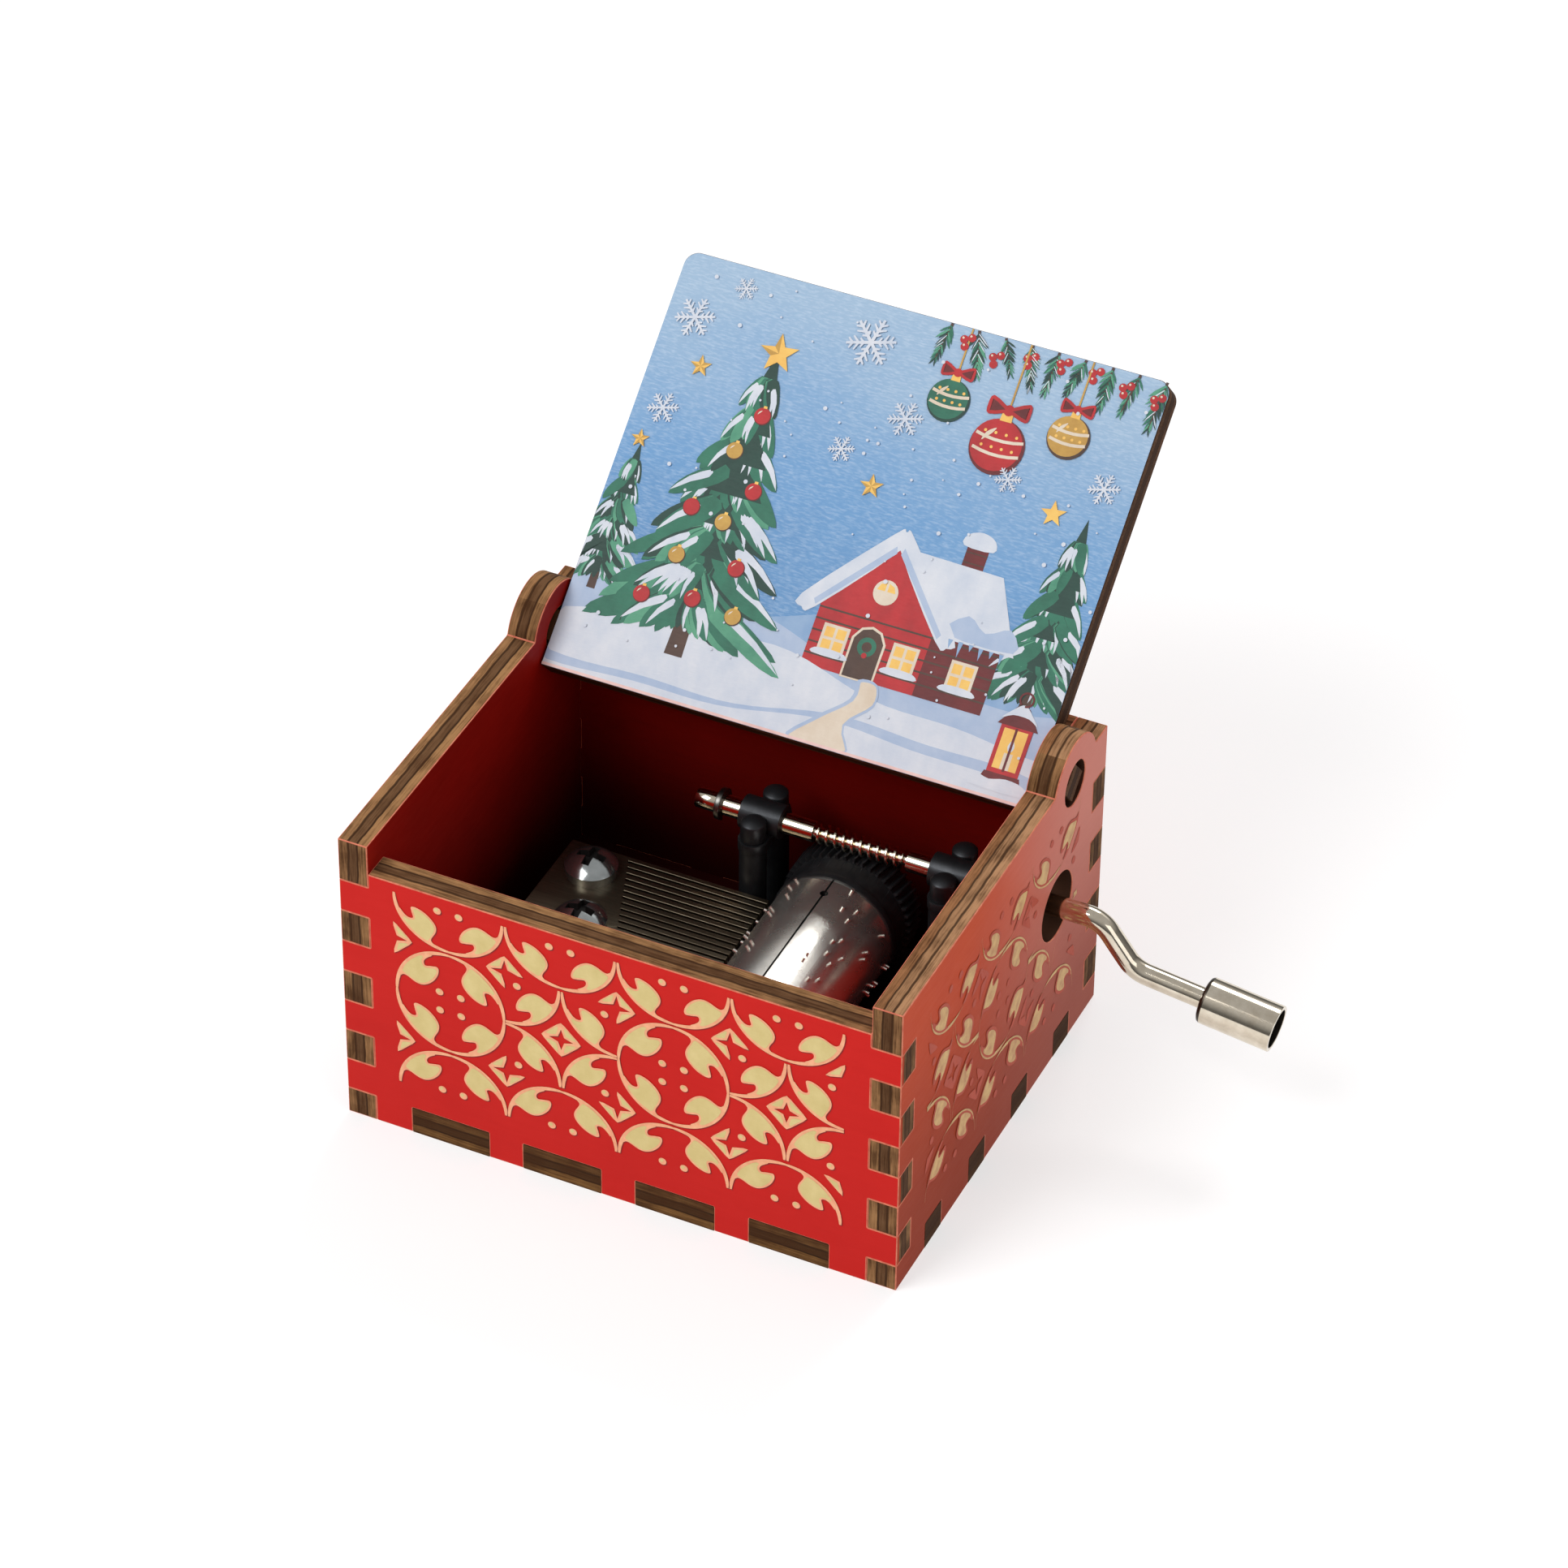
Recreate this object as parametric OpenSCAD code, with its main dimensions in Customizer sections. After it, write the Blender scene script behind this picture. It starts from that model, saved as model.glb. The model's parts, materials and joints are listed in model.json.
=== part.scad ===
// Hand-cranked music box: a finger-jointed plywood case with a hinged lid,
// and a pinned-drum movement driven through a worm by a bent wire crank.
// Millimetres. Origin at the centre of the base's underside, +Z up, crank on +X, front on -Y.

/* [Case] */
// outside width of the case, left to right
case_width = 64; // [62:1:70]
// outside depth of the case, front to back
case_depth = 52; // [52:1:58]
// height of the side rims
rim_height = 37.5; // [37:0.5:40]
// thickness of the plywood
ply = 3.4; // [3.2:0.1:3.5]
// height of one corner finger
finger = 4.1; // [3.9:0.1:4.2]
// width of a base tab in the front and back panels
front_tab = 9.1; // [8:0.1:9.5]
// width of a base tab in the side panels
side_tab = 4.1; // [3.5:0.1:5]

/* [Lid] */
// radius of the hinge ears
ear_radius = 5.6; // [5:0.1:6.2]
// radius of the hinge holes in the ears
hinge_radius = 2.65; // [2.6:0.05:3]
// angle of the open lid from the closed one
open_angle = 139; // [120:1:140]
// gap between the lid and each side panel
lid_gap = 0.2; // [0.15:0.05:0.4]
// corner radius of the lid's free edge
lid_corner = 1.6; // [1:0.1:2.5]
// gap left for the print between the closed lid and the front panel
seat_gap = 0.25; // [0.2:0.05:0.4]

/* [Crank] */
// diameter of the crank wire
wire = 2.35; // [2.2:0.05:2.4]
// sideways throw of the crank arm
throw = 5.4; // [5:0.1:7]
// lean of the handle away from the shaft's direction
handle_tilt = 7.5; // [5:0.5:10]
// outside diameter of the knob
knob_diameter = 5.2; // [5:0.1:6]
// length of the knob
knob_length = 8.4; // [7:0.1:10]
// diameter of the crank hole in the right panel
crank_hole = 8; // [7:0.1:9]

/* [Movement] */
// outside radius of the drum
drum_radius = 6.9; // [6.7:0.05:6.95]
// number of comb teeth
teeth = 18; // [16:1:18]
// number of teeth on the drum gear
gear_teeth = 46; // [45:1:47]
// axial pitch of the worm thread
worm_pitch = 1; // [0.99:0.005:1.01]
// how far each pin stands out of the drum
pin_height = 0.4; // [0.3:0.05:0.4]
// pins in each track of the drum
track_pins = 5; // [3:1:5]

/* [Hidden] */
eps = 0.01;
over = 1;
$fn = 64;
half_w = case_width / 2;
half_d = case_depth / 2;
in_w = half_w - ply;
in_d = half_d - ply;

// corner fingers: the first is as high as the plywood, the top one takes the rest
finger_rows = 7;
finger_z = [for (i = [0:finger_rows]) ply + i * finger];
front_top = rim_height - ply - seat_gap;
tab_rows = [-1.5, -0.5, 0.5, 1.5];
front_tab_share = 0.2055;
side_tab_share = 0.2145;
front_tab_pitch = case_width * front_tab_share;
side_tab_pitch = case_depth * side_tab_share;

// lid and hinge
hinge_inset = 5.1;
hinge_y = in_d - hinge_inset;
hinge_z = rim_height - ply / 2;
lid_back = 4.5;
lid_front = hinge_y + half_d;
lid_half = in_w - lid_gap;
hinge_tab = 3.5;
tab_end_gap = 0.2;

// crank line
shaft_inset = 12;
shaft_y = half_d - shaft_inset;
shaft_z = 21.7;
wire_r = wire / 2;
shaft_end = -10;
run_fit = 0.05;
arm_lean = 0.75;
arm_run = throw * arm_lean;
arm_angle = atan2(throw, arm_run);
bend_r = 3.4;
bend_leg = bend_r * tan(arm_angle / 2);
handle_turn = arm_angle - handle_tilt;
handle_leg = bend_r * tan(handle_turn / 2);
arm_length = sqrt(throw * throw + arm_run * arm_run) - bend_leg - handle_leg;
bend_lap = 0.3;
bend_core = wire_r - 0.1;
crank_reach = 5.1;
knob_reach = 8;
corner_1 = half_w + crank_reach;
corner_2 = corner_1 + arm_run;
knob_wall = 0.45;
knob_cup = 2.4;
knob_round = 0.5;
knob_ease = 0.3;
head_gap = 0.1;
head_length = 1;
head_lip = 0.6;
head_r = wire_r + head_lip;

// worm and gear
worm_depth = 0.5;
worm_core = wire_r - worm_depth;
gear_pitch_r = gear_teeth * worm_pitch / (2 * PI);
centre_distance = gear_pitch_r + wire_r - worm_depth / 2;
drum_x = 8.3;
drum_z = shaft_z - centre_distance;
mesh_gap = 0.08;
gear_tip_r = centre_distance - worm_core - mesh_gap;
gear_root_r = centre_distance - wire_r - mesh_gap;
lead_angle = atan(worm_pitch / (2 * PI * (wire_r - worm_depth / 2)));
tooth_tip = 0.2;
tooth_root = 0.46;
thread_tip = 0.24;
thread_root = 0.54;
worm_turns = 10;
worm_shift = 1.05;
worm_x = drum_x + worm_shift - worm_turns * worm_pitch / 2;
worm_neck = 0.5;
neck_r = worm_core - 0.05;
worm_phase = -90 - 360 * (drum_x + worm_pitch / 2 - worm_x) / worm_pitch;
gear_width = 3.2;
gear_y = shaft_y - gear_width / 2;

// drum
collar_length = 3.4;
drum_back = gear_y - collar_length;
drum_length = 17.9;
drum_front = drum_back - drum_length;
drum_wall = 0.8;
drum_bore = drum_radius - drum_wall;
collar_lip = 0.2;
collar_band = 0.9;
collar_r = drum_radius + collar_lip;
collar_waist = drum_radius + collar_lip / 4;
plug_length = 3;
cap_length = 2;
seam_width = 0.22;
seam_depth = 0.4;
seam_hole_r = 0.45;
seam_hole_inset = 2.4;
seam_hole_y = drum_back - seam_hole_inset;
axle_r = 1.25;
axle_end = 0.4;
pin_r = 0.2;

// comb
comb_inset = 0.15;
comb_back = drum_back - comb_inset;
tooth_pitch = 0.935;
tooth_width = 0.62;
tooth_sink = 1;
comb_length = (teeth - 1) * tooth_pitch + tooth_width;
comb_front = comb_back - comb_length;
comb_rise = 1.5;
comb_top = drum_z + comb_rise;
comb_tooth = 0.8;
comb_plate = 1.6;
tip_gap = 0.12;
pin_tip_r = drum_radius + pin_height;
tip_x = drum_x - pin_tip_r - tip_gap;
comb_left = -22.7;
root_back = -15.9;
root_slope = 0.37;
rest_inset = 0.6;
comb_screw_x = [-18.5, -15.6];
comb_screw_inset = [3.9, 12.4];
comb_screw_spots = [for (i = [0, 1]) [comb_screw_x[i], comb_back - comb_screw_inset[i]]];
comb_head_r = 2.95;
comb_head_rim = 1;
comb_head = 2.4;
cross_width = 0.9;
cross_depth = 1;
cross_half = 1.6;
comb_shank_r = 1.2;
comb_shank = 5;
comb_hole_gap = 0.15;

// bedplate
bed_z = ply;
bed_thickness = 2.2;
bed_margin = 0.5;
bed_top = bed_z + bed_thickness;
bed_left = comb_left - bed_margin;
bed_right = 23.5;
cheek = 1.8;
cheek_gap = 0.6;
cheek_half = 4;
front_cheek_y = drum_front - cheek_gap - cheek;
back_cheek_y = gear_y + gear_width + cheek_gap;
bed_lip = 1;
bed_front = front_cheek_y - bed_lip;
bed_back = back_cheek_y + cheek + axle_end;
post_x = [-2.2, 20.05];
post_y = 2.85;
post_r = 1.5;
post_drop = 2.1;
post_top = shaft_z - post_drop;
flange = 1.2;
flange_lip = 0.15;
flange_r = post_r + flange_lip;
barrel_r = 1.9;
barrel_length = 4.7;
rivet_shank_r = 0.8;
rivet_shank = 3;
rivet_r = 1.4;
rivet_rim = 2.2;
rivet_head = 2.7;
rivet_gap = 0.05;

// shaft clip
clip_x = -7.5;
clip_width = 0.6;
clip_r = 1.8;
clip_groove_r = wire_r - 0.3;
clip_mouth = 1.1;

// movement screws
bed_screw_left = -19.5;
bed_screw_inset = 8.4;
bed_screw_right = 20;
bed_screw_y = [5, -7];
bed_screws = [[bed_screw_left, comb_back - bed_screw_inset],
  [bed_screw_right, bed_screw_y[0]],
  [bed_screw_right, bed_screw_y[1]]];
bed_shank_r = 1;
bed_shank = 1.6;
bed_head_r = 2.2;
bed_head = 1.4;
slot_width = 0.5;
slot_depth = 0.6;

plywood = [0.8, 0.16, 0.17];
steel = [0.75, 0.74, 0.7];
dark = [0.16, 0.16, 0.17];

// a box between two corners
module box(a, b) {
  translate(a)
    cube(b - a);
}

// a cylinder along X from x1 to x2
module rod_x(x1, x2, y, z, r) {
  translate([x1, y, z])
    rotate([0, 90, 0])
      cylinder(r = r, h = x2 - x1);
}

// a cylinder along Y from y1 to y2
module rod_y(y1, y2, x, z, r) {
  translate([x, y2, z])
    rotate([90, 0, 0])
      cylinder(r = r, h = y2 - y1);
}

// front or back wall: y1 is its outer or inner face, whichever is further forward
module end_wall(y1, top) {
  difference() {
    box([-half_w, y1, 0], [half_w, y1 + ply, top]);
    for (s = [-1, 1]) {
      corner_x = s < 0 ? -half_w - over : in_w;
      box([corner_x, y1 - over, -over], [corner_x + ply + over, y1 + ply + over, finger_z[0]]);
      for (i = [1:2:finger_rows - 2])
        box([corner_x, y1 - over, finger_z[i]], [corner_x + ply + over, y1 + ply + over, finger_z[i + 1]]);
      box([corner_x, y1 - over, finger_z[finger_rows]], [corner_x + ply + over, y1 + ply + over, top + over]);
    }
    for (k = tab_rows)
      box([k * front_tab_pitch - front_tab / 2, y1 - over, -over],
        [k * front_tab_pitch + front_tab / 2, y1 + ply + over, ply]);
  }
}

// side wall with its hinge ear: x1 is its left face
module side_wall(x1) {
  difference() {
    union() {
      box([x1, -half_d, 0], [x1 + ply, half_d, rim_height]);
      rod_x(x1, x1 + ply, hinge_y, hinge_z, ear_radius);
    }
    rod_x(x1 - over, x1 + ply + over, hinge_y, hinge_z, hinge_radius);
    for (s = [-1, 1]) {
      corner_y = s < 0 ? -half_d - over : in_d;
      for (i = [0:2:finger_rows - 1])
        box([x1 - over, corner_y, finger_z[i]], [x1 + ply + over, corner_y + ply + over, finger_z[i + 1]]);
    }
    for (k = tab_rows)
      box([x1 - over, k * side_tab_pitch - side_tab / 2, -over],
        [x1 + ply + over, k * side_tab_pitch + side_tab / 2, ply]);
  }
}

module front_panel() {
  color(plywood)
    end_wall(-half_d, front_top);
}

module back_panel() {
  color(plywood)
    end_wall(in_d, rim_height);
}

module left_panel() {
  color(plywood)
    side_wall(-half_w);
}

module right_panel() {
  color(plywood)
    difference() {
      side_wall(in_w);
      rod_x(in_w - over, half_w + over, shaft_y, shaft_z, crank_hole / 2);
    }
}

module base_panel() {
  color(plywood)
    difference() {
      union() {
        box([-in_w, -in_d, 0], [in_w, in_d, ply]);
        for (k = tab_rows) {
          box([k * front_tab_pitch - front_tab / 2, -half_d, 0],
            [k * front_tab_pitch + front_tab / 2, half_d, ply]);
          box([-half_w, k * side_tab_pitch - side_tab / 2, 0],
            [half_w, k * side_tab_pitch + side_tab / 2, ply]);
        }
      }
      for (p = bed_screws)
        translate([p[0], p[1], 0]) {
          translate([0, 0, -over])
            cylinder(r = bed_shank_r, h = ply + 2 * over);
          translate([0, 0, -eps])
            cylinder(r1 = bed_head_r + eps, r2 = bed_shank_r, h = bed_head + eps);
        }
    }
}

// the lid lying flat: hinge line on the X axis, free edge towards -Y
module lid_blank() {
  difference() {
    union() {
      box([-lid_half, -lid_front, -ply / 2], [lid_half, lid_back, ply / 2]);
      box([-half_w + tab_end_gap, -hinge_tab / 2, -ply / 2], [half_w - tab_end_gap, hinge_tab / 2, ply / 2]);
    }
    for (s = [-1, 1])
      translate([s * (lid_half - lid_corner), -lid_front + lid_corner, -ply])
        difference() {
          translate([s > 0 ? 0 : -2 * lid_corner, -2 * lid_corner, 0])
            cube([2 * lid_corner, 2 * lid_corner, 2 * ply]);
          translate([0, 0, -over])
            cylinder(r = lid_corner, h = 2 * ply + 2 * over);
        }
  }
}

module lid() {
  color(plywood)
    translate([0, hinge_y, hinge_z])
      rotate([-open_angle, 0, 0])
        lid_blank();
}

// outline of the comb's plate, kept back from the teeth's roots by inset
module comb_outline(inset) {
  polygon([[comb_left, comb_back],
    [root_back - inset, comb_back],
    [root_back - inset + root_slope * comb_length, comb_front],
    [comb_left, comb_front]]);
}

module bedplate() {
  color(dark)
    difference() {
      union() {
        box([bed_left, bed_front, bed_z], [bed_right, bed_back, bed_top]);
        translate([0, 0, bed_z])
          linear_extrude(comb_top - comb_plate - bed_z)
            comb_outline(rest_inset);
        for (y = [front_cheek_y, back_cheek_y]) {
          box([drum_x - cheek_half, y, bed_z], [drum_x + cheek_half, y + cheek, drum_z]);
          rod_y(y, y + cheek, drum_x, drum_z, cheek_half);
        }
        for (x = post_x)
          for (s = [-1, 1])
            translate([x, shaft_y + s * post_y, bed_z])
              cylinder(r = post_r, h = post_top - bed_z);
      }
      rod_y(bed_front - over, bed_back + over, drum_x, drum_z, axle_r + run_fit);
      for (p = comb_screw_spots)
        translate([p[0], p[1], comb_top - comb_shank])
          cylinder(r = comb_shank_r, h = comb_shank);
      for (x = post_x)
        for (s = [-1, 1])
          translate([x, shaft_y + s * post_y, post_top - rivet_shank + flange])
            cylinder(r = rivet_shank_r, h = rivet_shank);
      for (p = bed_screws)
        translate([p[0], p[1], bed_z - over])
          cylinder(r = bed_shank_r, h = bed_shank + over);
    }
}

module comb() {
  color(dark)
    difference() {
      union() {
        translate([0, 0, comb_top - comb_plate])
          linear_extrude(comb_plate)
            comb_outline(0);
        for (i = [0:teeth - 1]) {
          y = comb_back - i * tooth_pitch;
          box([root_back - tooth_sink, y - tooth_width, comb_top - comb_tooth], [tip_x, y, comb_top]);
        }
      }
      for (p = comb_screw_spots)
        translate([p[0], p[1], comb_top - comb_plate - over])
          cylinder(r = comb_shank_r + comb_hole_gap, h = comb_plate + 2 * over);
    }
}

// domed head with a straight rim and a cross recess, on a plain shank
module comb_screw() {
  dome_rise = comb_head - comb_head_rim;
  dome = (comb_head_r * comb_head_r + dome_rise * dome_rise) / (2 * dome_rise);
  difference() {
    union() {
      intersection() {
        translate([0, 0, comb_head - dome])
          sphere(r = dome);
        cylinder(r = comb_head_r, h = comb_head);
      }
      translate([0, 0, -comb_shank])
        cylinder(r = comb_shank_r, h = comb_shank + eps);
    }
    translate([-cross_half, -cross_width / 2, comb_head - cross_depth])
      cube([2 * cross_half, cross_width, comb_head]);
    translate([-cross_width / 2, -cross_half, comb_head - cross_depth])
      cube([cross_width, 2 * cross_half, comb_head]);
  }
}

module comb_screws() {
  color(steel)
    for (p = comb_screw_spots)
      translate([p[0], p[1], comb_top])
        comb_screw();
}

// strap over two posts with a barrel that carries the shaft
module bearing(x) {
  difference() {
    union() {
      for (s = [-1, 1])
        translate([x, shaft_y + s * post_y, post_top])
          cylinder(r = flange_r, h = flange);
      box([x - flange_r, shaft_y - post_y, post_top], [x + flange_r, shaft_y + post_y, post_top + flange]);
      rod_x(x - barrel_length / 2, x + barrel_length / 2, shaft_y, shaft_z, barrel_r);
    }
    rod_x(x - barrel_length, x + barrel_length, shaft_y, shaft_z, wire_r + run_fit);
    for (s = [-1, 1])
      translate([x, shaft_y + s * post_y, post_top]) {
        translate([0, 0, -over])
          cylinder(r = rivet_shank_r, h = flange + 2 * over);
        translate([0, 0, flange])
          cylinder(r = rivet_r + rivet_gap, h = rivet_head + barrel_r);
      }
  }
}

module bearing_left() {
  color(dark)
    bearing(post_x[0]);
}

module bearing_right() {
  color(dark)
    bearing(post_x[1]);
}

// turned rivet: tall round head with a low dome, shank into the post
module rivet() {
  dome_rise = rivet_head - rivet_rim;
  dome = (rivet_r * rivet_r + dome_rise * dome_rise) / (2 * dome_rise);
  intersection() {
    translate([0, 0, rivet_head - dome])
      sphere(r = dome);
    cylinder(r = rivet_r, h = rivet_head);
  }
  translate([0, 0, -rivet_shank])
    cylinder(r = rivet_shank_r, h = rivet_shank + eps);
}

module bearing_rivets() {
  color(dark)
    for (x = post_x)
      for (s = [-1, 1])
        translate([x, shaft_y + s * post_y, post_top + flange])
          rivet();
}

// countersunk screw from below, slotted head flush with the base
module bed_screw() {
  difference() {
    union() {
      cylinder(r1 = bed_head_r, r2 = bed_shank_r, h = bed_head);
      cylinder(r = bed_shank_r, h = ply + bed_shank);
    }
    translate([-bed_head_r, -slot_width / 2, -over])
      cube([2 * bed_head_r, slot_width, slot_depth + over]);
  }
}

module movement_screws() {
  color(steel)
    for (p = bed_screws)
      translate([p[0], p[1], 0])
        bed_screw();
}

// where pin k of track i stands, counted from the seam
function pin_angle(i, k) = 20 + k * 66 + (i * 37 + i * i * 11 + k * 23) % 52;

module drum() {
  color(steel)
    difference() {
      union() {
        rod_y(drum_front, drum_back, drum_x, drum_z, drum_radius);
        for (i = [0:teeth - 1])
          for (k = [0:track_pins - 1])
            translate([drum_x, comb_back - i * tooth_pitch - tooth_width / 2, drum_z])
              rotate([0, pin_angle(i, k), 0])
                translate([0, 0, drum_radius - drum_wall / 2])
                  cylinder(r = pin_r, h = pin_height + drum_wall / 2, $fn = 16);
      }
      rod_y(drum_front - over, drum_back + over, drum_x, drum_z, drum_bore);
      box([drum_x - seam_width / 2, drum_front - over, drum_z + drum_radius - seam_depth],
        [drum_x + seam_width / 2, drum_back + over, drum_z + drum_radius + over]);
      translate([drum_x, seam_hole_y, drum_z + drum_bore - over])
        cylinder(r = seam_hole_r, h = drum_wall + 2 * over);
    }
}

// one gear tooth standing on the root circle, slanted to the worm's lead
module gear_tooth() {
  root_sink = 0.3;
  translate([0, 0, gear_root_r])
    rotate([0, 0, -lead_angle])
      translate([0, gear_width / 2, 0])
        rotate([90, 0, 0])
          linear_extrude(gear_width)
            polygon([[-tooth_root / 2, -root_sink],
              [tooth_root / 2, -root_sink],
              [tooth_root / 2, 0],
              [tooth_tip / 2, gear_tip_r - gear_root_r],
              [-tooth_tip / 2, gear_tip_r - gear_root_r],
              [-tooth_root / 2, 0]]);
}

module drum_gear() {
  color(dark)
    difference() {
      union() {
        rod_y(drum_back - plug_length, drum_back, drum_x, drum_z, drum_bore);
        rod_y(drum_back, gear_y, drum_x, drum_z, collar_waist);
        rod_y(drum_back, drum_back + collar_band, drum_x, drum_z, collar_r);
        rod_y(gear_y, gear_y + gear_width, drum_x, drum_z, gear_root_r);
        for (i = [0:gear_teeth - 1])
          translate([drum_x, shaft_y, drum_z])
            rotate([0, i * 360 / gear_teeth, 0])
              gear_tooth();
      }
      rod_y(drum_back - plug_length - over, gear_y + gear_width + over, drum_x, drum_z, axle_r);
    }
}

module drum_cap() {
  color(dark)
    difference() {
      rod_y(drum_front, drum_front + cap_length, drum_x, drum_z, drum_bore);
      rod_y(drum_front - over, drum_front + cap_length + over, drum_x, drum_z, axle_r);
    }
}

module drum_axle() {
  color(steel)
    rod_y(front_cheek_y - axle_end, back_cheek_y + cheek + axle_end, drum_x, drum_z, axle_r);
}

// half-width of the thread's profile at angle a from its crest, as a radius
function thread_r(a) =
  let (s = min(a, 360 - a) / 360 * worm_pitch)
  s <= thread_tip / 2 ? wire_r :
  s >= thread_root / 2 ? worm_core :
  wire_r - worm_depth * (s - thread_tip / 2) / (thread_root / 2 - thread_tip / 2);

module worm_thread() {
  step = 15;
  per_turn = 12;
  translate([worm_x, shaft_y, shaft_z])
    rotate([90, 0, 90])
      rotate([0, 0, worm_phase])
        linear_extrude(worm_turns * worm_pitch, twist = -360 * worm_turns,
          slices = per_turn * worm_turns, $fn = 12)
          polygon([for (a = [0:step:359]) thread_r(a) * [cos(a), sin(a)]]);
}

// one bend of the crank, round a centre in the plane of the arm
module bend(x, z, from, turn) {
  translate([x, 0, z])
    rotate([90, 0, 0])
      rotate([0, 0, from])
        rotate_extrude(angle = turn)
          translate([bend_r, 0])
            circle(r = wire_r);
}

// the handle's own line: along x from the arm's outer end
module on_handle() {
  translate([corner_2, shaft_y, shaft_z - throw])
    rotate([0, handle_tilt, 0])
      children();
}

module crank_shaft() {
  worm_end = worm_x + worm_turns * worm_pitch;
  head_x = knob_reach + knob_length - knob_cup + head_gap;
  color(steel) {
    difference() {
      rod_x(shaft_end, worm_x - worm_neck, shaft_y, shaft_z, wire_r);
      difference() {
        rod_x(clip_x, clip_x + clip_width, shaft_y, shaft_z, wire_r + over);
        rod_x(clip_x - over, clip_x + clip_width + over, shaft_y, shaft_z, clip_groove_r);
      }
    }
    rod_x(worm_x - worm_neck - bend_lap, worm_end + worm_neck + bend_lap, shaft_y, shaft_z, neck_r);
    worm_thread();
    rod_x(worm_end + worm_neck, corner_1 - bend_leg, shaft_y, shaft_z, wire_r);
    rod_x(corner_1 - bend_leg - bend_lap, corner_1 - bend_leg + bend_lap, shaft_y, shaft_z, bend_core);
    translate([corner_1, shaft_y, shaft_z]) {
      bend(-bend_leg, -bend_r, 90 - arm_angle, arm_angle);
      rotate([0, 90 + arm_angle, 0]) {
        translate([0, 0, bend_leg])
          cylinder(r = wire_r, h = arm_length);
        translate([0, 0, bend_leg - bend_lap])
          cylinder(r = bend_core, h = arm_length + 2 * bend_lap);
      }
    }
    on_handle() {
      bend(handle_leg, bend_r, 270 - handle_turn, handle_turn);
      rod_x(handle_leg - bend_lap, handle_leg + bend_lap, 0, 0, bend_core);
      rod_x(handle_leg, head_x, 0, 0, wire_r);
      rod_x(head_x - bend_lap, head_x + head_length, 0, 0, bend_core);
      rod_x(head_x, head_x + head_length, 0, 0, head_r);
    }
  }
}

module shaft_clip() {
  color(steel)
    difference() {
      rod_x(clip_x, clip_x + clip_width, shaft_y, shaft_z, clip_r);
      rod_x(clip_x - over, clip_x + clip_width + over, shaft_y, shaft_z, clip_groove_r);
      box([clip_x - over, shaft_y - clip_mouth / 2, shaft_z - clip_r - over],
        [clip_x + clip_width + over, shaft_y + clip_mouth / 2, shaft_z]);
    }
}

module crank_knob() {
  r = knob_diameter / 2;
  color(steel)
    on_handle()
      translate([knob_reach, 0, 0])
        rotate([0, 90, 0])
          rotate_extrude()
            polygon([[wire_r + run_fit, 0],
              [r - knob_round, 0],
              [r - knob_ease * knob_round, knob_ease * knob_round],
              [r, knob_round],
              [r, knob_length],
              [r - knob_wall, knob_length],
              [r - knob_wall, knob_length - knob_cup],
              [wire_r + run_fit, knob_length - knob_cup]]);
}

front_panel();
back_panel();
left_panel();
right_panel();
base_panel();
lid();
bedplate();
comb();
comb_screws();
bearing_left();
bearing_right();
bearing_rivets();
movement_screws();
drum();
drum_gear();
drum_cap();
drum_axle();
crank_shaft();
shaft_clip();
crank_knob();
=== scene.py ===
import json
import logging
import math
import random
from dataclasses import dataclass, field, replace
from enum import Enum, IntEnum
from typing import Any, Callable, Iterable, Mapping, Sequence, Union

import bpy
from mathutils import Matrix, Vector


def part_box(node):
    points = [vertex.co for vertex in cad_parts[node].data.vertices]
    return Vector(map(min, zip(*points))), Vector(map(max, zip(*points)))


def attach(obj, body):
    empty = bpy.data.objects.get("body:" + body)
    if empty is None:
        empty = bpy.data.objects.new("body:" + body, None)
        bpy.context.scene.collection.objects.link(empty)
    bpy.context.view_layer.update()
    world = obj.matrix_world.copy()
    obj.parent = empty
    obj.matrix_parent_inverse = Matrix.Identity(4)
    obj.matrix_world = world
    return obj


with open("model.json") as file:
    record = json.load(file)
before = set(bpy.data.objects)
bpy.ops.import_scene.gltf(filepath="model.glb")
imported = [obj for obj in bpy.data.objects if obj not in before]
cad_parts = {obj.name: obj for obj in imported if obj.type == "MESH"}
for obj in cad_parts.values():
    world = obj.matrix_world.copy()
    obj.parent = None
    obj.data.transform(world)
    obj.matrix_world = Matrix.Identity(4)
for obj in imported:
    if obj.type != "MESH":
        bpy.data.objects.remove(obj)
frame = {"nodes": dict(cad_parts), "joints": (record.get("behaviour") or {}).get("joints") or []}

LOG = logging.getLogger("music_box")
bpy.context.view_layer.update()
MM = 0.001
SQUARE = 0.9  # a face whose normal leans this much along a direction counts as facing it
INWARD = 0.8  # a face that looks this much at a joint's line counts as the wall of its hole

Colour = tuple[float, float, float]
Point = tuple[float, float]
Shape = list[Point]


def srgb(red: float, green: float, blue: float) -> Colour:
    """Turns display values into linear ones.

    Args:
        red: display red, 0 to 255.
        green: display green, 0 to 255.
        blue: display blue, 0 to 255.

    Returns:
        The same colour in linear light.
    """

    def channel(value: float) -> float:
        """Turns one display channel into linear light."""
        share = value / 255
        return share / 12.92 if share <= 0.04045 else ((share + 0.055) / 1.055) ** 2.4

    return channel(red), channel(green), channel(blue)


class Axis(Enum):
    """A row axis, as a unit vector."""

    X = (1.0, 0.0, 0.0)
    Y = (0.0, 1.0, 0.0)
    Z = (0.0, 0.0, 1.0)


class Quadrant(Enum):
    """A quarter of a ring of the ornament, by its turn from the upper left one in degrees."""

    UPPER_LEFT = 0
    LOWER_LEFT = 90
    LOWER_RIGHT = 180
    UPPER_RIGHT = 270


class Field(Enum):
    """What fills one cell of the ornament's middle row."""

    RING = "ring"
    STAR = "star"


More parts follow.
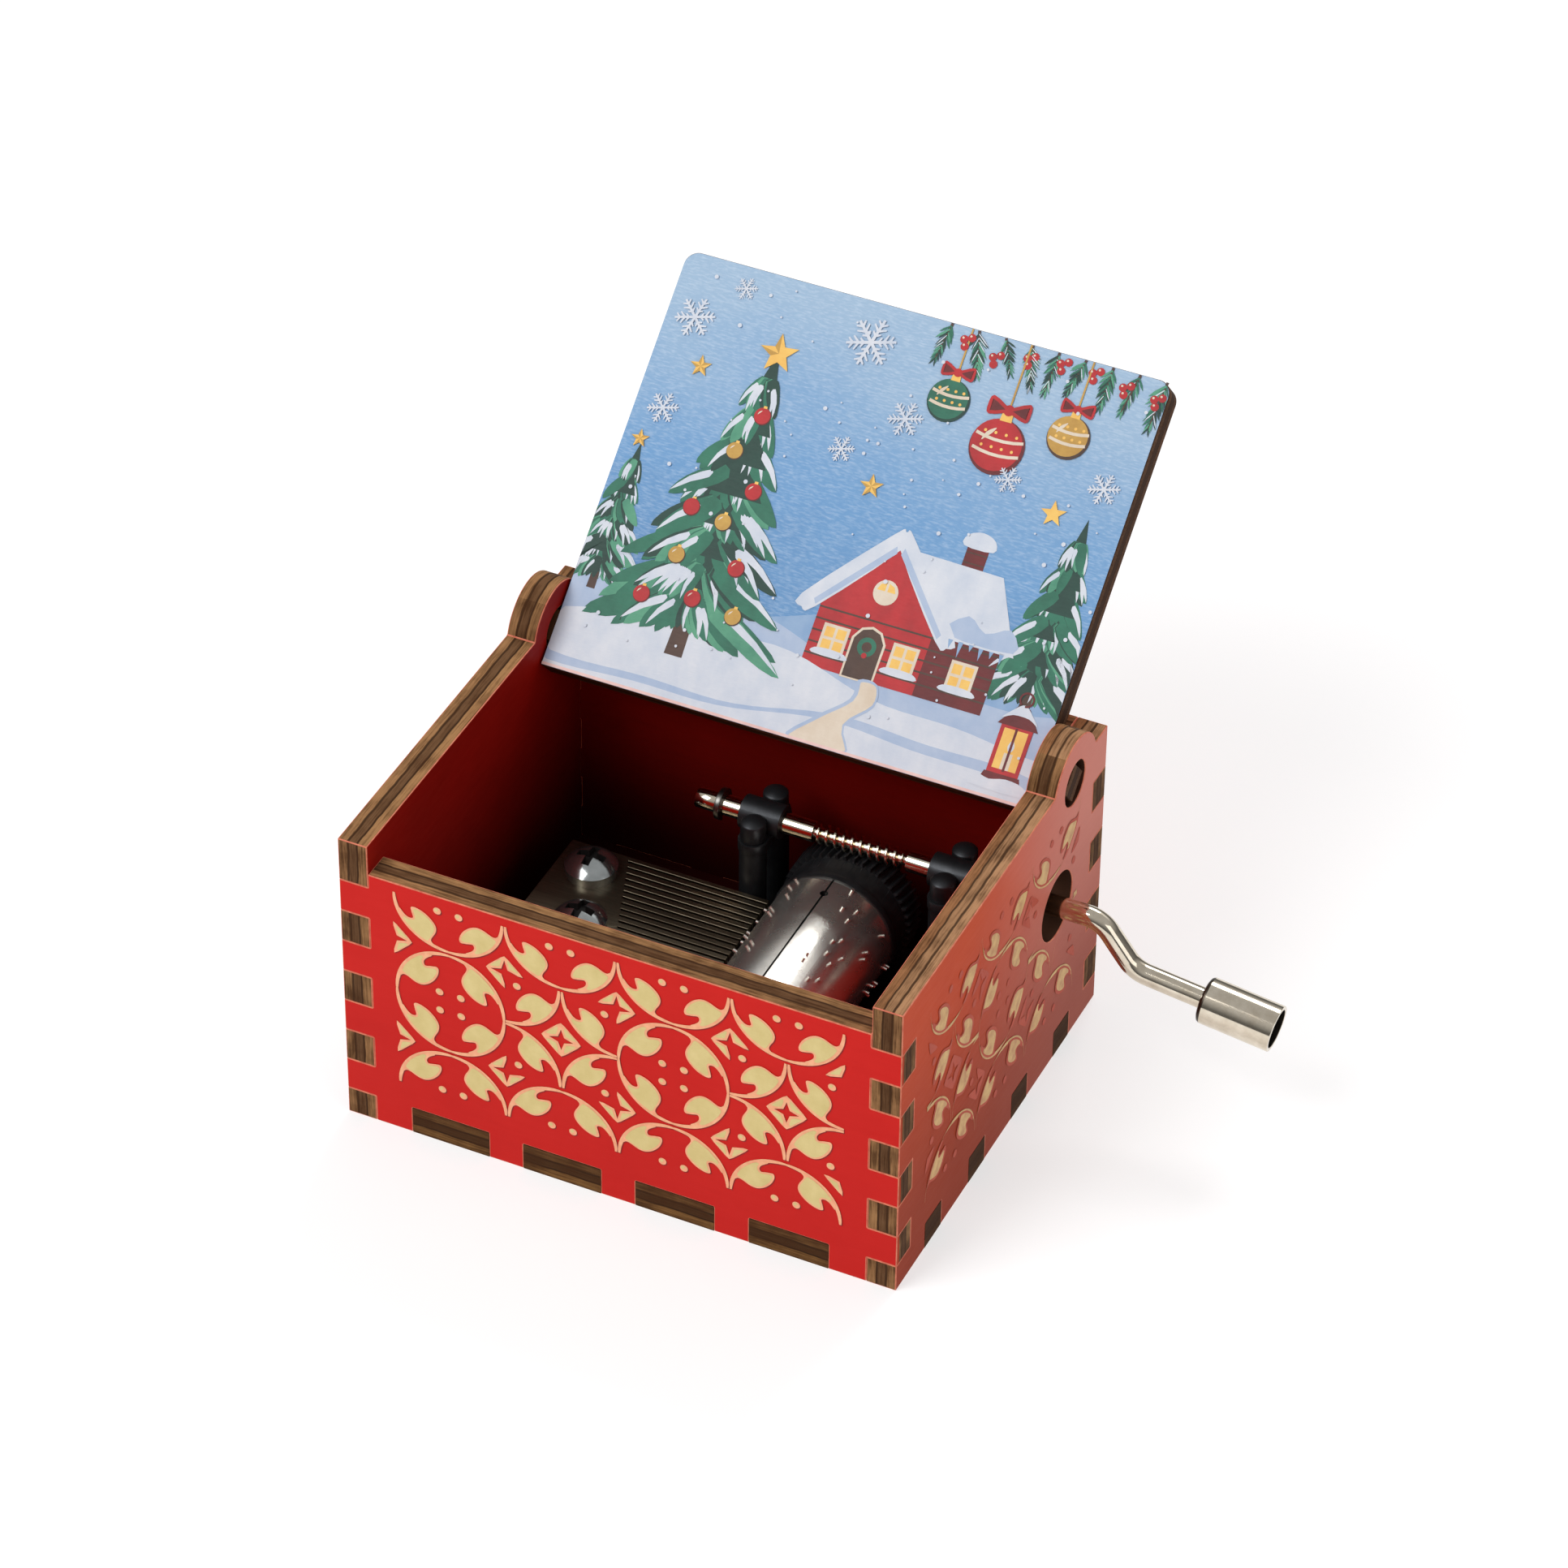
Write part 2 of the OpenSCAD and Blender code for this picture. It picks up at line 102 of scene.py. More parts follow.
class Side(IntEnum):
    """A wall's faces, in the order of its material slots."""

    PAINT = 0
    LINING = 1
    CHIP = 2
    BORE = 3
    EDGE = 4
    RIM = 5
    END = 6


class Slab(IntEnum):
    """The base's faces, in the order of its material slots."""

    UNDERSIDE = 0
    FLOOR = 1
    EDGE = 2
    END = 3


class Foil(IntEnum):
    """The ornament's colours and its painted shadow, in the order of its material slots."""

    OUTLINE = 0
    GOLD = 1
    GROOVE = 2


# Shader graphs


@dataclass(frozen=True)
class Socket:
    """A node's output with arithmetic, so shader maths reads as a formula."""

    graph: "Graph"
    out: bpy.types.NodeSocket

    def _math(self, how: str, left: "Value", right: "Value") -> "Socket":
        """Adds one math node and gives its value."""
        node = self.graph.node("ShaderNodeMath", {"operation": how}, {0: left, 1: right})
        return self.graph.socket(node)

    def __add__(self, other: "Value") -> "Socket":
        """Adds a value."""
        return self._math("ADD", self, other)

    def __radd__(self, other: "Value") -> "Socket":
        """Is added to a value."""
        return self._math("ADD", other, self)

    def __sub__(self, other: "Value") -> "Socket":
        """Takes a value away."""
        return self._math("SUBTRACT", self, other)

    def __rsub__(self, other: "Value") -> "Socket":
        """Is taken away from a value."""
        return self._math("SUBTRACT", other, self)

    def __mul__(self, other: "Value") -> "Socket":
        """Multiplies by a value."""
        return self._math("MULTIPLY", self, other)

    def __rmul__(self, other: "Value") -> "Socket":
        """Multiplies a value."""
        return self._math("MULTIPLY", other, self)

    def __truediv__(self, other: "Value") -> "Socket":
        """Divides by a value."""
        return self._math("DIVIDE", self, other)

    def __rtruediv__(self, other: "Value") -> "Socket":
        """Divides a value."""
        return self._math("DIVIDE", other, self)

    def clamp(self, low: float = 0.0, high: float = 1.0) -> "Socket":
        """Keeps the value between two limits."""
        return self._math("MAXIMUM", self._math("MINIMUM", self, high), low)

    def step(self, start: float, end: float) -> "Socket":
        """Rises smoothly from 0 to 1 between two values."""
        share = ((self - start) / (end - start)).clamp()
        return share * share * (3.0 - 2.0 * share)


Value = Union[Socket, float, Colour]


class Graph:
    """One material's or world's node tree."""

    def __init__(self, name: str, world: bool = False) -> None:
        """Starts an empty tree.

        Args:
            name: the material's or world's name.
            world: whether it is a world's tree.
        """
        self.owner = (bpy.data.worlds if world else bpy.data.materials).new(name)
        self.owner.use_nodes = True
        self.tree = self.owner.node_tree
        self.tree.nodes.clear()

    def node(self, kind: str, settings: Mapping[str, Any], inputs: Mapping[Any, Value]) -> bpy.types.Node:
        """Creates any node.

        Args:
            kind: the node's type.
            settings: its properties by name.
            inputs: its inputs by name or index: a socket to link, or a constant.

        Returns:
            The new node.
        """
        made = self.tree.nodes.new(kind)
        for name, value in settings.items():
            setattr(made, name, value)
        for key, value in inputs.items():
            if isinstance(value, Socket):
                self.tree.links.new(value.out, made.inputs[key])
            elif isinstance(value, tuple):
                plug = made.inputs[key]
                plug.default_value = (*value, 1.0) if len(plug.default_value) == 4 else value
            else:
                made.inputs[key].default_value = value
        return made

    def socket(self, node: bpy.types.Node, key: Union[int, str] = 0) -> Socket:
        """Wraps a node's output, found by name or index."""
        return Socket(self, node.outputs[key])

    def position(self) -> Socket:
        """Gives the place in the piece's own frame, in metres."""
        return self.socket(self.node("ShaderNodeTexCoord", {}, {}), "Object")

    def along(self, axis: Sequence[float]) -> Socket:
        """Measures the place along a direction.

        Args:
            axis: the direction.

        Returns:
            The distance along it in millimetres.
        """
        direction = tuple(part / MM for part in axis)
        settings = {"operation": "DOT_PRODUCT"}
        node = self.node("ShaderNodeVectorMath", settings, {0: self.position(), 1: direction})
        return self.socket(node, "Value")

    def noise(self, scale: Sequence[float], detail: float = 3.0, rough: float = 0.55) -> Socket:
        """Makes cloudy noise, stretched by its scale.

        Args:
            scale: features per millimetre along each axis.
            detail: octaves.
            rough: how strong the fine octaves are.

        Returns:
            The noise, about 0.5.
        """
        factors = tuple(part / MM for part in scale)
        moved = self.node("ShaderNodeVectorMath", {"operation": "MULTIPLY"}, {0: self.position(), 1: factors})
        inputs = {"Vector": self.socket(moved), "Scale": 1.0, "Detail": detail, "Roughness": rough}
        return self.socket(self.node("ShaderNodeTexNoise", {}, inputs), "Fac")

    def mix(self, share: Value, first: Value, second: Value) -> Socket:
        """Blends from a first colour to a second one by a share."""
        plugs = {0: share, 6: first, 7: second}  # the factor and the two colours of a Mix node
        return self.socket(self.node("ShaderNodeMix", {"data_type": "RGBA"}, plugs), 2)

    def bump(self, height: Socket, depth: float, strength: float = 1.0) -> Socket:
        """Turns a height, where 1 is a depth in millimetres, into a bent normal."""
        inputs = {"Height": height, "Distance": depth * MM, "Strength": strength}
        return self.socket(self.node("ShaderNodeBump", {}, inputs))

    def finish(self, inputs: Mapping[str, Value]) -> bpy.types.Material:
        """Ends the graph in one principled shader.

        Args:
            inputs: the shader's inputs by name.

        Returns:
            The material.
        """
        shader = self.node("ShaderNodeBsdfPrincipled", {}, inputs)
        self.node("ShaderNodeOutputMaterial", {}, {"Surface": self.socket(shader)})
        return self.owner


# Finishes


@dataclass(frozen=True)
class Paint:
    """Thin paint on plywood with a faint grain; painted shade may darken it towards the floor and a painted
    sheen may pale it towards the back.
    """

    name: str
    colour: Colour
    shade: Colour
    roughness: float = 0.42
    grain: tuple[float, float, float] = (0.25, 0.25, 1.6)
    gloss: float = 0.2
    # The darkening towards the floor is painted shade; the paling towards the back and the top, towards the
    # pale colour, is a painted sheen.
    depth: float = 0.0
    painted_sheen: float = 0.0
    pale: Colour = srgb(225, 178, 168)
    dark_rise: Point = (4.0, 36.0)
    sheen_rise: Point = (4.0, 32.0)
    sheen_run: Point = (-12.0, 24.0)

    def material(self) -> bpy.types.Material:
        """Builds the paint.

        Returns:
            Its material.
        """
        graph = Graph(self.name)
        cloud = graph.noise((0.12, 0.12, 0.12), 2.0)
        grain = graph.noise(self.grain, 4.0, 0.6)
        speck = graph.noise((6.0, 6.0, 6.0), 2.0)
        share = (0.75 * cloud + 0.5 * grain - 0.35).clamp()
        tint = graph.mix(share, self.colour, self.shade)
        # painted shade: darker towards the floor
        if self.depth:
            height = graph.along(Axis.Z.value).step(*self.dark_rise)
            tint = graph.mix(self.depth * (1.0 - height), tint, (0.0, 0.0, 0.0))
        # painted sheen: paler towards the back and the top
        if self.painted_sheen:
            high = 0.3 + 0.7 * graph.along(Axis.Z.value).step(*self.sheen_rise)
            back = graph.along(Axis.Y.value).step(*self.sheen_run)
            tint = graph.mix(self.painted_sheen * high * back, tint, self.pale)
        return graph.finish({
            "Base Color": tint,
            "Roughness": (self.roughness - 0.06 + 0.14 * grain).clamp(),
            "Specular IOR Level": self.gloss,
            "Normal": graph.bump(0.6 * grain + 0.4 * speck, 0.02, 0.5),
        })


@dataclass(frozen=True)
class CutEdge:
    """A laser-cut plywood edge: bands of ply from the inside out, browned by the cut."""

    name: str
    axis: tuple[float, float, float]
    start: float
    thickness: float
    inside: Colour = srgb(160, 118, 78)
    core: Colour = srgb(108, 77, 52)
    outside: Colour = srgb(156, 114, 76)
    glue: Colour = srgb(38, 24, 15)
    burn: Colour = srgb(64, 38, 20)
    scorch: float = 0.55
    lip: Union[Colour, None] = None

    def material(self) -> bpy.types.Material:
        """Builds the edge.

        Returns:
            Its material.
        """
        graph = Graph(self.name)
        wobble = graph.noise((0.35, 0.35, 0.35), 2.0)
        # shares of the thickness from the inside out; the ply joints lie near one and two thirds
        across = (graph.along(self.axis) - self.start) / self.thickness + 0.10 * (wobble - 0.5)
        stretch = tuple(0.22 + 5.0 * abs(part) for part in self.axis)
        fibre = graph.noise(stretch, 5.0, 0.7)
        cloud = graph.noise((0.3, 0.3, 0.3), 3.0)
        layers = graph.mix(across.step(0.30, 0.36), self.inside, self.core)
        layers = graph.mix(across.step(0.62, 0.68), layers, self.outside)
        near = across.step(0.30, 0.33) - across.step(0.36, 0.40)
        far = across.step(0.60, 0.64) - across.step(0.68, 0.72)
        layers = graph.mix((0.85 * (near + far)).clamp(), layers, self.glue)
        rims = 1.0 - across.step(0.0, 0.07) + across.step(0.93, 1.0)
        share = (2.4 * fibre + 1.6 * cloud - 2.0 + self.scorch + 0.5 * rims).clamp(0.0, 0.9)
        tint = graph.mix(share, layers, self.burn)
        if self.lip:
            tint = graph.mix(across.step(0.80, 0.88), tint, self.lip)
        return graph.finish({
            "Base Color": tint,
            "Roughness": (0.5 + 0.3 * fibre).clamp(),
            "Specular IOR Level": 0.04,
            "Normal": graph.bump(fibre, 0.06, 0.7),
        })


@dataclass(frozen=True)
class Metal:
    """Plated or plain steel with faint wear."""

    name: str
    colour: Colour
    smoke: Colour
    roughness: float
    streak: tuple[float, float, float] = (0.6, 0.6, 0.6)
    metallic: float = 1.0

    def material(self) -> bpy.types.Material:
        """Builds the metal.

        Returns:
            Its material.
        """
        graph = Graph(self.name)
        rubbed = graph.noise(self.streak, 4.0, 0.6)
        fine = graph.noise(tuple(4.0 * part for part in self.streak), 3.0)
        share = (1.6 * rubbed - 0.5).clamp()
        return graph.finish({
            "Base Color": graph.mix(share, self.colour, self.smoke),
            "Metallic": self.metallic,
            "Roughness": (self.roughness - 0.05 + 0.12 * rubbed).clamp(0.03, 1.0),
            "Normal": graph.bump(fine, 0.004, 0.15),
        })


@dataclass(frozen=True)
class Plastic:
    """Moulded plastic."""

    name: str
    colour: Colour
    dust: Colour
    roughness: float = 0.35

    def material(self) -> bpy.types.Material:
        """Builds the plastic.

        Returns:
            Its material.
        """
        graph = Graph(self.name)
        cloud = graph.noise((0.8, 0.8, 0.8), 3.0)
        return graph.finish({
            "Base Color": graph.mix((1.5 * cloud - 0.5).clamp(), self.colour, self.dust),
            "Roughness": (self.roughness - 0.06 + 0.15 * cloud).clamp(),
            "Specular IOR Level": 0.3,
            "Normal": graph.bump(cloud, 0.01, 0.3),
        })


@dataclass(frozen=True)
class Ink:
    """A printed or foiled colour on wood, with a canvas-like tooth."""

    name: str
    colour: Colour
    shade: Colour
    roughness: float = 0.5
    cell: float = 0.35
    contrast: float = 1.7

    def material(self) -> bpy.types.Material:
        """Builds the ink.

        Returns:
            Its material.
        """
        graph = Graph(self.name)
        brush = graph.noise((self.cell, 0.7 * self.cell, 0.7 * self.cell), 4.0, 0.6)
        tooth = graph.noise((1.2, 5.0, 5.0), 3.0)
        share = (self.contrast * (brush - 0.5) + 0.4 + 0.25 * (tooth - 0.5)).clamp()
        return graph.finish({
            "Base Color": graph.mix(share, self.colour, self.shade),
            "Roughness": (self.roughness - 0.05 + 0.1 * tooth).clamp(),
            "Specular IOR Level": 0.35,
            "Normal": graph.bump(tooth, 0.02, 0.5),
        })


@dataclass(frozen=True)
class Sky:
    """A printed sky that deepens from the free edge towards the hinge."""

    name: str
    axis: tuple[float, float, float]
    start: float
    length: float
    low: Colour = srgb(62, 112, 165)
    middle: Colour = srgb(100, 150, 198)
    high: Colour = srgb(152, 180, 207)

    def material(self) -> bpy.types.Material:
        """Builds the sky.

        Returns:
            Its material.
        """
        graph = Graph(self.name)
        cloud = graph.noise((0.05, 0.07, 0.07), 4.0, 0.6)
        tooth = graph.noise((1.2, 5.0, 5.0), 3.0)
        rise = (graph.along(self.axis) - self.start) / self.length + 0.5 * (cloud - 0.5)
        lower = graph.mix(rise.step(0.05, 0.5), self.low, self.middle)
        tint = graph.mix(rise.step(0.45, 1.0), lower, self.high)
        flecked = graph.mix((0.9 * tooth - 0.4).clamp(0.0, 0.35), tint, srgb(225, 236, 246))
        return graph.finish({
            "Base Color": flecked,
            "Roughness": (0.45 + 0.1 * tooth).clamp(),
            "Specular IOR Level": 0.35,
            "Normal": graph.bump(tooth, 0.02, 0.5),
        })


# Flat drawing


def ring_points(radius: float, count: int, start: float = 0.0, spread: float = 360.0) -> Shape:
    """Gives points round a circle, from a start angle over a spread, both in degrees."""
    turns = [math.radians(start + spread * i / count) for i in range(count)]
    return [(radius * math.cos(turn), radius * math.sin(turn)) for turn in turns]


def place(shape: Iterable[Point], x: float, y: float, turn: float = 0.0, size: float = 1.0) -> Shape:
    """Turns a shape anticlockwise in degrees, scales it and moves its origin to a point."""
    cosine, sine = math.cos(math.radians(turn)), math.sin(math.radians(turn))
    return [(x + size * (a * cosine - b * sine), y + size * (a * sine + b * cosine)) for a, b in shape]


def smooth(shape: Sequence[Point], steps: int = 4) -> Shape:
    """Rounds a closed shape through its points.

    Args:
        shape: corner points.
        steps: points made for each corner.

    Returns:
        The rounded outline.
    """
    count, made = len(shape), []
    for i in range(count):
        a, b, c, d = (shape[(i + k) % count] for k in (-1, 0, 1, 2))
        for k in range(steps):
            t = k / steps
            weights = (
                (-t + 2 * t**2 - t**3) / 2,
                (2 - 5 * t**2 + 3 * t**3) / 2,
                (t + 4 * t**2 - 3 * t**3) / 2,
                (-(t**2) + t**3) / 2,
            )
            made.append(tuple(sum(w * p[j] for w, p in zip(weights, (a, b, c, d))) for j in (0, 1)))
    return made


def resize(shape: Sequence[Point], size: float) -> Shape:
    """Scales a shape about its middle."""
    x, y = (sum(point[i] for point in shape) / len(shape) for i in (0, 1))
    return [(x + size * (a - x), y + size * (b - y)) for a, b in shape]


def area(shape: Sequence[Point]) -> float:
    """Gives twice a closed shape's area, less than zero where it runs clockwise."""
    return sum(a[0] * b[1] - b[0] * a[1] for a, b in zip(shape, [*shape[1:], shape[0]]))


def grow(shape: Sequence[Point], width: float) -> Shape:
    """Moves a closed outline outwards.

    Args:
        shape: the outline.
        width: how far; negative moves it in.

    Returns:
        The moved outline.
    """
    count = len(shape)
    side = 1.0 if area(shape) > 0 else -1.0
    made = []
    for i in range(count):
        before, here, after = shape[i - 1], shape[i], shape[(i + 1) % count]
        run = Vector((after[0] - before[0], after[1] - before[1]))
        if run.length < 1e-9:
            made.append(here)
            continue
        run.normalize()
        made.append((here[0] + side * run.y * width, here[1] - side * run.x * width))
    return made


def ribbon(path: Sequence[Point], widths: Sequence[float]) -> list[Shape]:
    """Draws a line of changing width.

    Args:
        path: the line's points.
        widths: its full width at each point.

    Returns:
        Quads that make up the line.
    """
    left, right = [], []
    for i, (x, y) in enumerate(path):
        ahead, behind = path[min(i + 1, len(path) - 1)], path[max(i - 1, 0)]
        run = Vector((ahead[0] - behind[0], ahead[1] - behind[1])).normalized()
        half = widths[i] / 2
        left.append((x - run.y * half, y + run.x * half))
        right.append((x + run.y * half, y - run.x * half))
    return [[right[i], right[i + 1], left[i + 1], left[i]] for i in range(len(path) - 1)]


@dataclass
class Sheet:
    """A thin layered drawing on a plane, built as one mesh."""

    name: str
    origin: Vector
    right: Vector
    up: Vector
    materials: Sequence[bpy.types.Material]
    lift: float = 0.02
    layer: float = 0.012
    hair: float = 0.0004
    cycle: int = 29
    keep: Callable[[float, float], bool] = lambda x, y: True
    _points: list[Vector] = field(default_factory=list)
    _faces: list[list[int]] = field(default_factory=list)
    _slots: list[int] = field(default_factory=list)
    _strokes: int = 0

    def draw(self, shape: Sequence[Point], material: int, layer: float = 0.0) -> None:
        """Adds one filled shape, its outline in millimetres on the plane."""
        self.stroke([shape], material, layer)

    def stroke(self, shapes: Sequence[Sequence[Point]], material: int, layer: float = 0.0) -> None:
        """Adds filled shapes that lie side by side at one height, such as a line's quads.

        Args:
            shapes: their outlines in millimetres on the plane.
            material: index in the sheet's materials.
            layer: how many layers up they lie.
        """
        self._strokes += 1
        normal = self.right.cross(self.up)
        height = self.lift + self.layer * layer + self.hair * (self._strokes % self.cycle)
        for shape in shapes:
            if not all(self.keep(x, y) for x, y in shape):
                continue
            first = len(self._points)
            for x, y in shape if area(shape) > 0 else reversed(shape):
                self._points.append(self.origin + (self.right * x + self.up * y + normal * height) * MM)
            self._faces.append(list(range(first, len(self._points))))
            self._slots.append(material)

    def build(self, body: str, slot: str) -> None:
        """Makes the mesh and lets it ride.

        Args:
            body: the CAD body it moves with.
            slot: the record's material slot; not used.
        """
        mesh = bpy.data.meshes.new(self.name)
        mesh.from_pydata(self._points, [], self._faces)
        for material in self.materials:
            mesh.materials.append(material)
        mesh.polygons.foreach_set("material_index", self._slots)
        mesh.update()
        made = bpy.data.objects.new(self.name, mesh)
        bpy.context.scene.collection.objects.link(made)
        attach(made, body)
        LOG.info("%s: %d shapes", self.name, len(self._faces))


# Dressing of CAD nodes


@dataclass(frozen=True)
class Softening:
    """How a CAD node's edges are eased."""

    width: float
    segments: int = 2
    angle: float = 32.0
    material: int = -1
    weld: float = 0.002
    flat: float = 0.4
    weight: int = 60


def soften(obj: bpy.types.Object, how: Softening) -> None:
    """Eases a node's edges and smooths its round faces with modifiers.

    Args:
        obj: the CAD node's object.
        how: the easing.
    """
    if "custom_normal" in obj.data.attributes:
        obj.data.attributes.remove(obj.data.attributes["custom_normal"])
    obj.data.polygons.foreach_set("use_smooth", [True] * len(obj.data.polygons))
    weld = obj.modifiers.new("weld", "WELD")
    weld.merge_threshold = how.weld * MM
    merge = obj.modifiers.new("merge", "DECIMATE")
    merge.decimate_type = "DISSOLVE"
    merge.angle_limit = math.radians(how.flat)
    merge.delimit = {"MATERIAL"}
    bevel = obj.modifiers.new("ease", "BEVEL")
    bevel.width = how.width * MM
    bevel.segments = how.segments
    bevel.limit_method = "ANGLE"
    bevel.angle_limit = math.radians(how.angle)
    bevel.use_clamp_overlap = True
    bevel.material = how.material
    bevel.miter_outer = "MITER_ARC"
    even = obj.modifiers.new("even", "WEIGHTED_NORMAL")
    even.keep_sharp = False
    even.weight = how.weight


def wear(
    obj: bpy.types.Object, materials: Sequence[bpy.types.Material], choose: Callable[[Vector, Vector], int]
) -> None:
    """Gives each face one of several materials.

    Args:
        obj: the CAD node's object.
        materials: the materials.
        choose: picks an index from a face's normal and centre.
    """
    mesh = obj.data
    mesh.materials.clear()
    for material in materials:
        mesh.materials.append(material)
    indices = [choose(face.normal, face.center) for face in mesh.polygons]
    mesh.polygons.foreach_set("material_index", indices)
    mesh.update()
    LOG.info("%s: %d finishes", obj.name, len(materials))


def coat(names: Iterable[str], material: bpy.types.Material, how: Softening) -> None:
    """Gives whole nodes one material.

    Args:
        names: the CAD nodes.
        material: their material.
        how: how their edges are eased.
    """
    for name in names:
        obj = frame["nodes"][name]
        wear(obj, [material], lambda normal, centre: 0)
        soften(obj, how)


@dataclass(frozen=True)
class Pivot:
    """A joint's line, for telling which faces lie round it."""

    place: Vector
    axis: Vector

    @classmethod
    def of(cls, name: str) -> "Pivot":
        """Finds a named joint's line in the frame."""
        joint = next(joint for joint in frame["joints"] if joint["name"] == name)
        return cls(Vector(joint["pos_m"]), Vector(joint["axis"]).normalized())

    def along(self, point: Vector) -> float:
        """Gives how far along the line a point lies, in millimetres."""
        return (point - self.place).dot(self.axis) / MM

    def spoke(self, point: Vector) -> Vector:
        """Gives the way from the line to a point, in millimetres."""
        return (point - self.place) / MM - self.axis * self.along(point)

    def reach(self, point: Vector) -> float:
        """Gives a point's distance from the line, in millimetres."""
        return self.spoke(point).length

    def inward(self, normal: Vector, point: Vector) -> float:
        """Gives how much a face looks at the line: 1 straight at it, -1 straight away."""
        return -normal.dot(self.spoke(point).normalized())

    def bores(self, normal: Vector, point: Vector, reach: float) -> bool:
        """Tells whether a face within a reach, in millimetres, looks at the line."""
        return self.inward(normal, point) > INWARD and self.reach(point) < reach


@dataclass
class Measures:
    """Sizes read off the frame, in millimetres."""

    half_width: float = 0.0
    half_depth: float = 0.0
    ply: float = 0.0

    def build(self) -> "Measures":
        """Reads the front panel's box.

        Returns:
            The same object, filled in.
        """
        low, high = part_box("front_panel")
        self.half_width = high.x / MM
        self.half_depth = -low.y / MM
        self.ply = (high.y - low.y) / MM
        return self


@dataclass
class Case:
    """The plywood case: paint, browned edges and the gold scroll ornament."""

    sizes: Measures
    # The red paint darkens a little towards the floor as painted shade.
    red: Paint = Paint("red paint", srgb(204, 29, 23), srgb(189, 20, 16), gloss=0.1, depth=0.07)
    # The right wall's paint: the red with an orange tint as painted reflection, paling towards the back as
    # painted sheen, darkening towards the floor as painted shade.
    red_with_painted_light: Paint = Paint("warm paint", srgb(198, 74, 36), srgb(182, 58, 26), gloss=0.03, depth=0.45, painted_sheen=0.4)
    # The lining darkens almost to black towards the floor as painted shade.
    lining: Paint = Paint("dark red lining", srgb(150, 17, 7), srgb(116, 11, 4), 0.55, gloss=0.1, depth=0.93)
    # A pale pink line on the walls' eased edges.
    chip: Ink = Ink("bevelled paint edge", srgb(226, 136, 104), srgb(178, 70, 50), 0.6, 1.4)
    gold: Ink = Ink("pale gold", srgb(218, 198, 136), srgb(200, 178, 112), 0.5, 0.5)
    outline: Ink = Ink("etched outline", srgb(244, 180, 138), srgb(228, 144, 106), 0.6, 1.2)
    # The ornament's painted shadow: a dark red copy of each shape, offset down and to the right.
    groove: Ink = Ink("etched groove", srgb(150, 18, 20), srgb(112, 12, 14), 0.7, 1.2)
    worn_gold: Ink = Ink("worn gold", srgb(212, 172, 108), srgb(184, 128, 78), 0.5, 1.1, contrast=3.0)
    worn_outline: Ink = Ink("worn outline", srgb(184, 68, 36), srgb(170, 56, 30), 0.6, 1.2)
    # The right wall's ornament's painted shadow.
    worn_painted_shadow: Ink = Ink("worn groove", srgb(172, 52, 24), srgb(158, 44, 20), 0.6, 1.2)
    underside: Paint = Paint("bare underside", srgb(186, 146, 100), srgb(150, 108, 66), 0.6, (0.05, 1.2, 1.2))
    # The bored holes' walls are dark: partly the cut's burn, partly painted shade inside the holes.
    bore: Paint = Paint("burnt bore", srgb(70, 44, 30), srgb(34, 22, 16), 0.6, gloss=0.1)
    # A brighter copy of the lining, painted light, for the front and right walls' inner faces.
    lit_lining: Paint = Paint("red lining", srgb(222, 42, 21), srgb(196, 30, 15), 0.55, gloss=0.1, depth=0.05)
    # The right wall's rim plies are paler than the other rims: partly their own tone, partly a painted
    # highlight.
    highlit_inside: Colour = srgb(150, 103, 68)
    highlit_core: Colour = srgb(160, 119, 85)
    highlit_outside: Colour = srgb(174, 130, 94)
    lip: Colour = srgb(172, 62, 34)
    # The front and back walls' edges are browned more: partly the cut's burn, partly painted shade.
    front_scorch_and_shade: float = 0.65
    side_scorch: float = 0.5
    rim_relief: float = 0.25
    hole_reach: float = 4.3
    bare_reach: float = 4.35
    _made: dict[str, bpy.types.Material] = field(default_factory=dict)

    def made(self, finish: Union[Paint, Ink]) -> bpy.types.Material:
        """Gives a finish's material, built on its first use.

        Args:
            finish: the finish.

        Returns:
            Its material.
        """
        if finish.name not in self._made:
            self._made[finish.name] = finish.material()
        return self._made[finish.name]

    def panel(self, name: str, axis: Axis, outer: float, paint: Paint, lining: Paint) -> None:
        """Dresses one wall.

        Args:
            name: the CAD node.
            axis: the axis across its thickness.
            outer: the sign of its outer face along that axis.
            paint: its outer face's paint.
            lining: its inner face's paint.
        """
        direction = Vector(axis.value)
        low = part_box(name)[0].dot(direction) / MM
        signed = tuple(part * outer for part in axis.value)
        start = (low + self.sizes.ply if outer < 0 else low) * outer
        scorch = self.front_scorch_and_shade if axis is Axis.Y else self.side_scorch
        edge = CutEdge(f"{name} cut edge", signed, start, self.sizes.ply, scorch=scorch)
        rim = replace(edge, name=f"{name} rim", scorch=scorch - self.rim_relief)
        # the right wall's rim: paler plies, partly a painted highlight
        if paint is self.red_with_painted_light:
            rim = replace(rim, inside=self.highlit_inside, core=self.highlit_core, outside=self.highlit_outside)
        ends = replace(edge, name=f"{name} finger ends", lip=self.lip)
        lipped = name == "front_panel"
        shared = [self.made(finish) for finish in (paint, lining, self.chip, self.bore)]
        cut = [finish.material() for finish in ((edge, rim, ends) if lipped else (edge, rim))]
        pivots = [Pivot.of("crank_turn"), Pivot.of("lid_hinge")]

